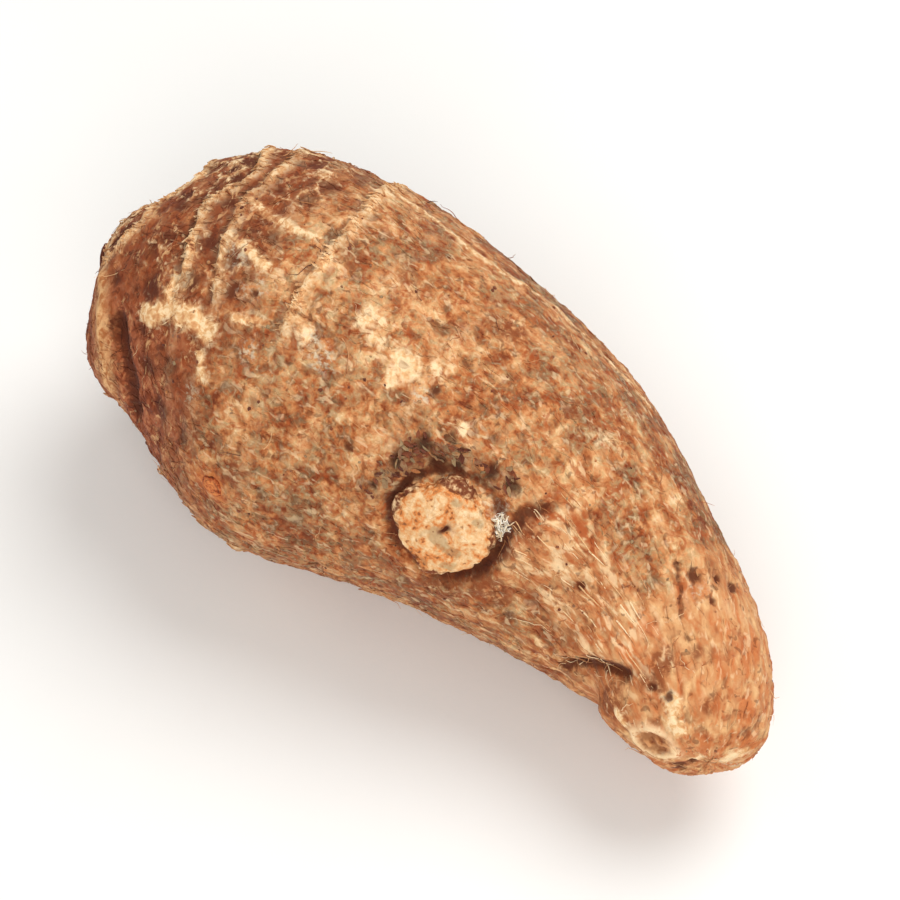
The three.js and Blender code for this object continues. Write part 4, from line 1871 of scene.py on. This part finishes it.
@dataclass(frozen=True)
class Strewn:
    """One kind of small thing that lies on the skin, strewn by Geometry Nodes.

    Lengths are millimetres. `lay` names the mark that says how thickly it lies, and `heading` is
    how the things point against the root's length, in degrees, give or take `spread`.
    """

    name: str
    form: Form
    lay: str
    finish: HuskFinish | ShredFinish
    per_cm2: float
    length: float
    width: float
    seed: int
    thickness: float = 0.1
    lift: float = 0.2
    free: float = 0.0
    sink: float = 0.05
    wave: float = 0.5
    wave_size: float = 2.0
    heading: float = 0.0
    spread: float = 30.0
    points: int = 6
    across: int = 3
    room: float = 0.8

    def _placed(
        self, t: Tree, thing: Socket, seed: Socket, sizes: tuple[object, object, object]
    ) -> Socket:
        """Strews the thing over the skin and makes every copy real.

        Args:
            t: The tree.
            thing: The geometry of one thing.
            seed: The seed input.
            sizes: Its scale each way.

        Returns:
            The real geometry, with a shade and a vary number for each copy.
        """
        most = t.size("Number per square metre", self.per_cm2 * CM2_PER_M2)
        values = {"Mesh": t.skin, "Density": t.product(most, t.held(self.lay)), "Seed": seed}
        strew = t.node("GeometryNodeDistributePointsOnFaces", values)
        outward, along = t.pick(strew.outputs, "Normal"), t.held("along", "FLOAT_VECTOR")
        values = {"Primary Axis": outward, "Secondary Axis": along}
        axes = {"primary_axis": "Z", "secondary_axis": "X"}
        facing = t.out("FunctionNodeAxesToRotation", "Rotation", values, **axes)
        swing = t.product(t.chance(seed, -1.0, 1.0), t.size("Spread", math.radians(self.spread)))
        angle = t.sum("ADD", swing, t.size("Heading", math.radians(self.heading)))
        values = {"Axis": (0.0, 0.0, 1.0), "Angle": angle}
        twist = t.out("FunctionNodeAxisAngleToRotation", "Rotation", values)
        values = {"Rotation": facing, "Rotate By": twist}
        turned = t.out("FunctionNodeRotateRotation", "Rotation", values, rotation_space="LOCAL")
        values = {
            "Points": t.pick(strew.outputs, "Points"), "Instance": thing, "Rotation": turned,
            "Scale": t.vector(*sizes),
        }
        copies = t.out("GeometryNodeInstanceOnPoints", "Instances", values)
        copies = t.keep(copies, "shade", t.chance(seed, 0.0, 1.0), "INSTANCE")
        copies = t.keep(copies, "vary", t.chance(seed, *VARY), "INSTANCE")
        return t.out("GeometryNodeRealizeInstances", "Geometry", {"Geometry": copies})

    def _shake(self, t: Tree) -> Socket:
        """Waves a thing, or puts it out of round.

        Args:
            t: The tree.

        Returns:
            An offset that varies smoothly from place to place.
        """
        scale = t.sum("DIVIDE", 1.0, t.size("Wave size", self.wave_size * MM))
        noise = t.out("ShaderNodeTexNoise", "Color", {"Vector": t.place(), "Scale": scale, "Detail": 1.0})
        centred = t.vector_sum("SUBTRACT", noise, (0.5, 0.5, 0.5))
        return t.vector_sum("SCALE", centred, t.size("Wave", 2.0 * self.wave * MM))

    def _longer(self, t: Tree, seed: Socket, limits: Span) -> Socket:
        """The thing's length, made longer or shorter by chance."""
        return t.product(t.chance(seed, *limits), t.size("Length", self.length * MM))

    def _on_skin(self, t: Tree, geometry: Socket, height: Socket) -> Socket:
        """Puts every point on the skin.

        Args:
            t: The tree.
            geometry: The points.
            height: How far above the skin each goes.

        Returns:
            The moved geometry, with the skin's grain.
        """
        near = t.out("GeometryNodeProximity", "Position", {"Geometry": t.skin}, target_element="FACES")
        outward = t.nearest(t.out("GeometryNodeInputNormal", "Normal"))
        grain = t.nearest(t.held("grain", "FLOAT_VECTOR"))
        geometry = t.keep(geometry, "grain", grain, "POINT", "FLOAT_VECTOR")
        raised = t.vector_sum("ADD", near, t.vector_sum("SCALE", outward, height))
        return t.moved(geometry, Position=raised)

    def _inside(self, t: Tree, geometry: Socket) -> Socket:
        """Keeps every point above the floor and in the room round the root.

        Args:
            t: The tree.
            geometry: The points.

        Returns:
            The moved geometry.
        """
        low, high = CAD_BOX
        least = tuple(c - self.room * MM for c in low[:2]) + (0.1 * MM,)
        most = tuple(c + self.room * MM for c in high)
        held = t.vector_sum("MAXIMUM", t.place(), t.size("Lowest corner", least, "NodeSocketVector"))
        held = t.vector_sum("MINIMUM", held, t.size("Highest corner", most, "NodeSocketVector"))
        return t.moved(geometry, Position=held)

    def _strand(self, t: Tree, seed: Socket) -> Socket:
        """Thin fibres: lines laid on the skin, waved and thickened.

        Args:
            t: The tree.
            seed: The seed input.

        Returns:
            Their geometry.
        """
        values = {"Start": (-0.5, 0.0, 0.0), "End": (0.5, 0.0, 0.0)}
        line = t.out("GeometryNodeCurvePrimitiveLine", "Curve", values)
        values = {"Curve": line, "Count": t.size("Points", self.points, "NodeSocketInt")}
        line = t.out("GeometryNodeResampleCurve", "Curve", values)
        curve = self._placed(t, line, seed, (self._longer(t, seed, LENGTHS), 1.0, 1.0))
        offset = self._shake(t)
        curve = t.moved(curve, Offset=offset)
        part, vary = t.out("GeometryNodeSplineParameter", "Factor"), t.held("vary")
        arch = t.product(part, t.sum("SUBTRACT", 1.0, part), 4.0)
        free = t.size("Free end", self.free)
        shape = t.sum("ADD", t.product(arch, t.sum("SUBTRACT", 1.0, free)), t.product(part, part, free))
        lift = t.product(shape, vary, t.size("Lift", self.lift * MM))
        curve = self._on_skin(t, curve, t.sum("SUBTRACT", lift, t.size("Sink", self.sink * MM)))
        loose = t.vector_sum("SCALE", offset, t.product(part, free, LOOSE_SWAY))
        curve = self._inside(t, t.moved(curve, Offset=loose))
        thin = t.sum("SUBTRACT", 1.0, t.product(t.sum("POWER", part, 2.0), TAPER))
        thick = t.product(thin, vary, t.size("Thickness", self.width * 0.5 * MM))
        ring = t.out("GeometryNodeCurvePrimitiveCircle", "Curve", {"Resolution": 3, "Radius": 1.0})
        values = {"Curve": curve, "Profile Curve": ring, "Scale": thick, "Fill Caps": True}
        return t.out("GeometryNodeCurveToMesh", "Mesh", values)

    def _chip(self, t: Tree, seed: Socket) -> Socket:
        """Flat ragged scales, closed all round, that follow the skin and lift at one end.

        Args:
            t: The tree.
            seed: The seed input.

        Returns:
            Their geometry.
        """
        counts = {"Vertices X": self.points, "Vertices Y": self.across, "Vertices Z": 2}
        slab = t.out("GeometryNodeMeshCube", "Mesh", {"Size": (1.0, 1.0, 1.0), **counts})
        slab = t.keep(slab, "local", t.place(), "POINT", "FLOAT_VECTOR")
        x, y, _ = t.parts(t.place())
        narrow = t.sum("SUBTRACT", 1.0, t.product(x, x, CHIP_POINT))
        slab = t.moved(slab, Position=t.vector(x, t.product(y, narrow), 0.0))
        longer = self._longer(t, seed, LENGTHS)
        wider = t.product(t.chance(seed, *WIDTHS), t.size("Width", self.width * MM))
        slabs = self._placed(t, slab, seed, (longer, wider, 1.0))
        slabs = t.moved(slabs, Offset=self._shake(t))
        x, y, z = t.parts(t.held("local", "FLOAT_VECTOR"))
        raised = t.sum("POWER", t.sum("ADD", x, 0.5), CHIP_BEND)
        shape = t.product(t.sum("ADD", raised, t.product(y, y, CHIP_CURL)), t.held("vary"))
        lift = t.product(shape, t.size("Lift", self.lift * MM))
        upper = t.product(t.sum("ADD", z, 0.5), t.size("Thickness", self.thickness * MM))
        height = t.sum("SUBTRACT", t.sum("ADD", lift, upper), t.size("Sink", self.sink * MM))
        return self._inside(t, self._on_skin(t, slabs, height))

    def _crumb(self, t: Tree, seed: Socket) -> Socket:
        """Lumps half sunk in the skin, each shaken out of round.

        Args:
            t: The tree.
            seed: The seed input.

        Returns:
            Their geometry.
        """
        ball = t.out("GeometryNodeMeshIcoSphere", "Mesh", {"Radius": 0.5, "Subdivisions": self.points})
        longer = self._longer(t, seed, LUMP_LENGTHS)
        wider = t.product(longer, t.chance(seed, *LUMP_WIDTHS))
        flat = t.product(longer, t.size("Flatness", self.width / self.length))
        lumps = self._placed(t, ball, seed, (longer, wider, flat))
        return self._inside(t, t.moved(lumps, Offset=self._shake(t)))

    def build(self, skin: Skin) -> Object:
        """Strews the things and makes them a plain mesh.

        Args:
            skin: What they lie on.

        Returns:
            The piece.
        """
        t = Tree(self.name + "_tree")
        seed = t.size("Seed", self.seed, "NodeSocketInt")
        makers = {Form.STRAND: self._strand, Form.CHIP: self._chip, Form.CRUMB: self._crumb}
        smooth = {"Geometry": makers[self.form](t, seed), "Shade Smooth": self.form is not Form.CHIP}
        things = t.out("GeometryNodeSetShadeSmooth", "Geometry", smooth)
        things = t.out("GeometryNodeRealizeInstances", "Geometry", {"Geometry": things})
        dressed = {"Geometry": things, "Material": self.finish.build()}
        t.put(t.exit.inputs[0], t.out("GeometryNodeSetMaterial", "Geometry", dressed))
        piece = bpy.data.objects.new(self.name, skin.piece.data)
        bpy.context.scene.collection.objects.link(piece)
        strewer = piece.modifiers.new("strew", "NODES")
        strewer.node_group = t.tree
        for identifier, value in t.settings.items():
            strewer[identifier] = value
        depsgraph = bpy.context.evaluated_depsgraph_get()
        mesh = bpy.data.meshes.new_from_object(piece.evaluated_get(depsgraph))
        mesh.name = self.name
        for slot in reversed(range(len(mesh.materials))):
            if mesh.materials[slot] is None:
                mesh.materials.pop(index=slot)
        piece.modifiers.remove(strewer)
        piece.data = mesh
        log.info("%s: %d triangles", self.name, hand_over(piece))
        return piece


DARK_TO_PALE = (
    (0.05, Hue.UMBER), (0.25, Hue.RUST), (0.45, Hue.CLAY), (0.62, Hue.TAN),
    (0.8, Hue.STRAW), (0.95, Hue.CREAM),
)
PALE = ((0.1, Hue.CLAY), (0.35, Hue.TAN), (0.6, Hue.STRAW), (0.85, Hue.CREAM))
DARK = ((0.05, Hue.UMBER), (0.35, Hue.CHESTNUT), (0.7, Hue.DUST), (0.95, Hue.CLAY))
WHITE = ((0.06, Hue.ASH), (0.25, Hue.CREAM), (0.5, Hue.CHALK))

STREWN = (
    Strewn(
        "skin_flakes", Form.CHIP, "lay_flakes", HuskFinish("taro_flake", 0.18),
        per_cm2=14.0, length=1.9, width=0.8, thickness=0.08, lift=0.09, wave=0.7, wave_size=0.7,
        spread=50.0, points=4, seed=101,
    ),
    Strewn(
        "husk_fibres", Form.STRAND, "lay_all", HuskFinish("taro_fibre", 0.24),
        per_cm2=20.0, length=3.2, width=0.22, lift=0.14, wave_size=2.2, spread=28.0, seed=102,
    ),
    Strewn(
        "sheath_shreds", Form.CHIP, "lay_lips", HuskFinish("taro_shred", 0.3),
        per_cm2=90.0, length=2.0, width=0.4, lift=0.35, wave_size=1.2, heading=180.0, spread=38.0,
        points=4, seed=103,
    ),
    Strewn(
        "crown_fibres", Form.STRAND, "lay_crown", HuskFinish("taro_crown_fibre", 0.36),
        per_cm2=14.0, length=3.6, width=0.22, lift=0.22, sink=0.04, wave=0.35, wave_size=2.6,
        heading=90.0, spread=50.0, points=7, seed=104,
    ),
    Strewn(
        "root_hairs", Form.STRAND, "lay_all", ShredFinish("taro_hair", DARK_TO_PALE),
        per_cm2=1.6, length=5.5, width=0.2, lift=1.1, free=1.0, sink=0.1, wave=1.6, wave_size=3.0,
        spread=180.0, points=10, seed=105,
    ),
    Strewn(
        "soil_grit", Form.CRUMB, "lay_all", ShredFinish("taro_grit", DARK),
        per_cm2=5.0, length=0.65, width=0.4, wave=0.12, wave_size=0.5, spread=180.0, points=1, seed=106,
    ),
    Strewn(
        "torn_scale", Form.CHIP, "lay_scale", ShredFinish("taro_scale", DARK),
        per_cm2=110.0, length=1.5, width=0.6, thickness=0.12, lift=0.5, wave_size=1.1, spread=60.0,
        points=4, seed=107,
    ),
    Strewn(
        "white_fluff", Form.STRAND, "lay_fluff", ShredFinish("taro_fluff", WHITE, 0.3),
        per_cm2=1500.0, length=1.1, width=0.36, lift=1.2, free=0.3, wave_size=0.7, spread=180.0,
        seed=108,
    ),
    Strewn(
        "fold_fibres", Form.STRAND, "lay_fold", ShredFinish("taro_fold_fibre", PALE),
        per_cm2=45.0, length=2.8, width=0.18, lift=0.5, wave=0.6, wave_size=1.8,
        heading=10.0, spread=80.0, points=7, seed=109,
    ),
    Strewn(
        "fan_fibres", Form.STRAND, "lay_fan", ShredFinish("taro_fan_fibre", PALE),
        per_cm2=18.0, length=5.0, width=0.3, lift=0.1, sink=0.06, wave=0.2, wave_size=3.0,
        spread=8.0, points=8, seed=110,
    ),
)


# ---- The studio ----


@dataclass(frozen=True)
class FloorFinish:
    """Smooth pale board with the faintest unevenness."""

    name: str = "studio_board"

    def build(self) -> Material:
        """Makes the material.

        Returns:
            The finished material.
        """
        p = Paint(self.name)
        colour = p.coat(tint(240, 238, 234), tint(246, 245, 242), p.noise(60.0, 3.0))
        return p.close(colour, 0.75, p.bump(p.noise(1.5, 2.0), 0.02), 0.2)


@dataclass
class Studio:
    """The pale floor, the soft lights and the camera."""

    azimuth: float = 40.0
    elevation: float = 55.0
    lens: float = 135.0
    away: float = 0.5
    floor_size: float = 6.0
    lights: tuple[tuple[str, Triple, float, float], ...] = (
        ("ceiling_softbox", (0.1, 0.45, 0.85), 0.7, 5.6),
        ("front_softbox", (0.55, -0.6, 0.7), 0.7, 6.0),
        ("left_softbox", (-0.8, -0.25, 0.5), 0.5, 0.8),
    )

    def _floor(self) -> None:
        """Lays the floor."""
        half = self.floor_size / MM / 2
        corners = np.array([[-1.0, -1.0, 0.0], [1.0, -1.0, 0.0], [1.0, 1.0, 0.0], [-1.0, 1.0, 0.0]])
        floor = make_piece("studio_floor", half * corners, [[0, 1, 2, 3]])
        floor.data.materials.append(FloorFinish().build())

    def _light(self, name: str, place: Triple, size: float, power: float) -> None:
        """Hangs one soft light that looks at the root.

        Args:
            name: The light's name.
            place: Where it hangs, in metres.
            size: Its width, in metres.
            power: Its power, in watts.
        """
        lamp = bpy.data.lights.new(name, "AREA")
        lamp.shape = "DISK"
        lamp.size = size
        lamp.energy = power
        holder = bpy.data.objects.new(name, lamp)
        holder.location = place
        holder.rotation_euler = (-Vector(place)).to_track_quat("-Z", "Y").to_euler()
        bpy.context.scene.collection.objects.link(holder)

    def _camera(self) -> None:
        """Sets up the camera."""
        low, high = CAD_BOX
        middle = (low + high) / 2
        turned, tilted = math.radians(self.azimuth), math.radians(self.elevation)
        back = Vector((
            math.sin(turned) * math.cos(tilted), -math.cos(turned) * math.cos(tilted), math.sin(tilted),
        ))
        camera = bpy.data.objects.new("studio_camera", bpy.data.cameras.new("studio_camera"))
        camera.data.lens = self.lens
        camera.location = middle + back * self.away
        camera.rotation_mode = "QUATERNION"
        camera.rotation_quaternion = (-back).to_track_quat("-Z", "Y")
        camera.data.clip_start, camera.data.clip_end = 0.01, 20.0
        bpy.context.scene.collection.objects.link(camera)
        bpy.context.scene.camera = camera

    def build(self) -> None:
        """Sets up the whole studio."""
        self._floor()
        for name, place, size, power in self.lights:
            self._light(name, place, size, power)
        self._camera()
        world = bpy.data.worlds.new("studio")
        world.use_nodes = True
        sky = world.node_tree.nodes["Background"]
        sky.inputs["Color"].default_value = (1.0, 0.99, 0.97, 1.0)
        sky.inputs["Strength"].default_value = 0.42
        scene = bpy.context.scene
        scene.world = world
        scene.view_settings.view_transform = "Standard"
        scene.view_settings.look = "None"


# ---- Putting it together ----


def main() -> None:
    """Builds every piece in order and reports each."""
    logging.basicConfig(level=logging.INFO, format="%(name)s: %(message)s", stream=sys.stdout)
    skin = Skin(CentreLine())
    skin.lay()
    stub_seat = skin.seat(skin.stub_place, 6.0)
    side_bud_seat = skin.seat(skin.side_bud_place, 3.0)
    shoot_seat = skin.pole_seat()
    skin.shape()
    piece = skin.finish()
    piece.data.materials.append(HuskFinish().build())
    log.info("root_skin: %d triangles", hand_over(piece))
    stub = SideStub(
        "side_stub", radius=7.5, stands=1.5, root=4.0, rings=60, segments=128, seed=201,
        lobed=0.7, squash=0.93, corners=0.06,
    )
    stub.build(*stub_seat, CutFinish().build())
    side_bud = SleepingBud(
        "side_bud", radius=2.2, stands=0.5, root=1.5, rings=30, segments=64, seed=202, lobed=0.4,
    )
    side_bud.build(*side_bud_seat, BudFinish().build())
    shoot_bud = SleepingBud(
        "shoot_bud", radius=4.4, stands=1.6, root=3.0, rings=44, segments=96, seed=203, lobed=0.3,
    )
    shoot_bud.build(*shoot_seat, BudFinish("taro_shoot_bud", -0.46).build())
    for strewn in STREWN:
        strewn.build(skin)
    Studio().build()


if __name__ == "__main__":
    main()
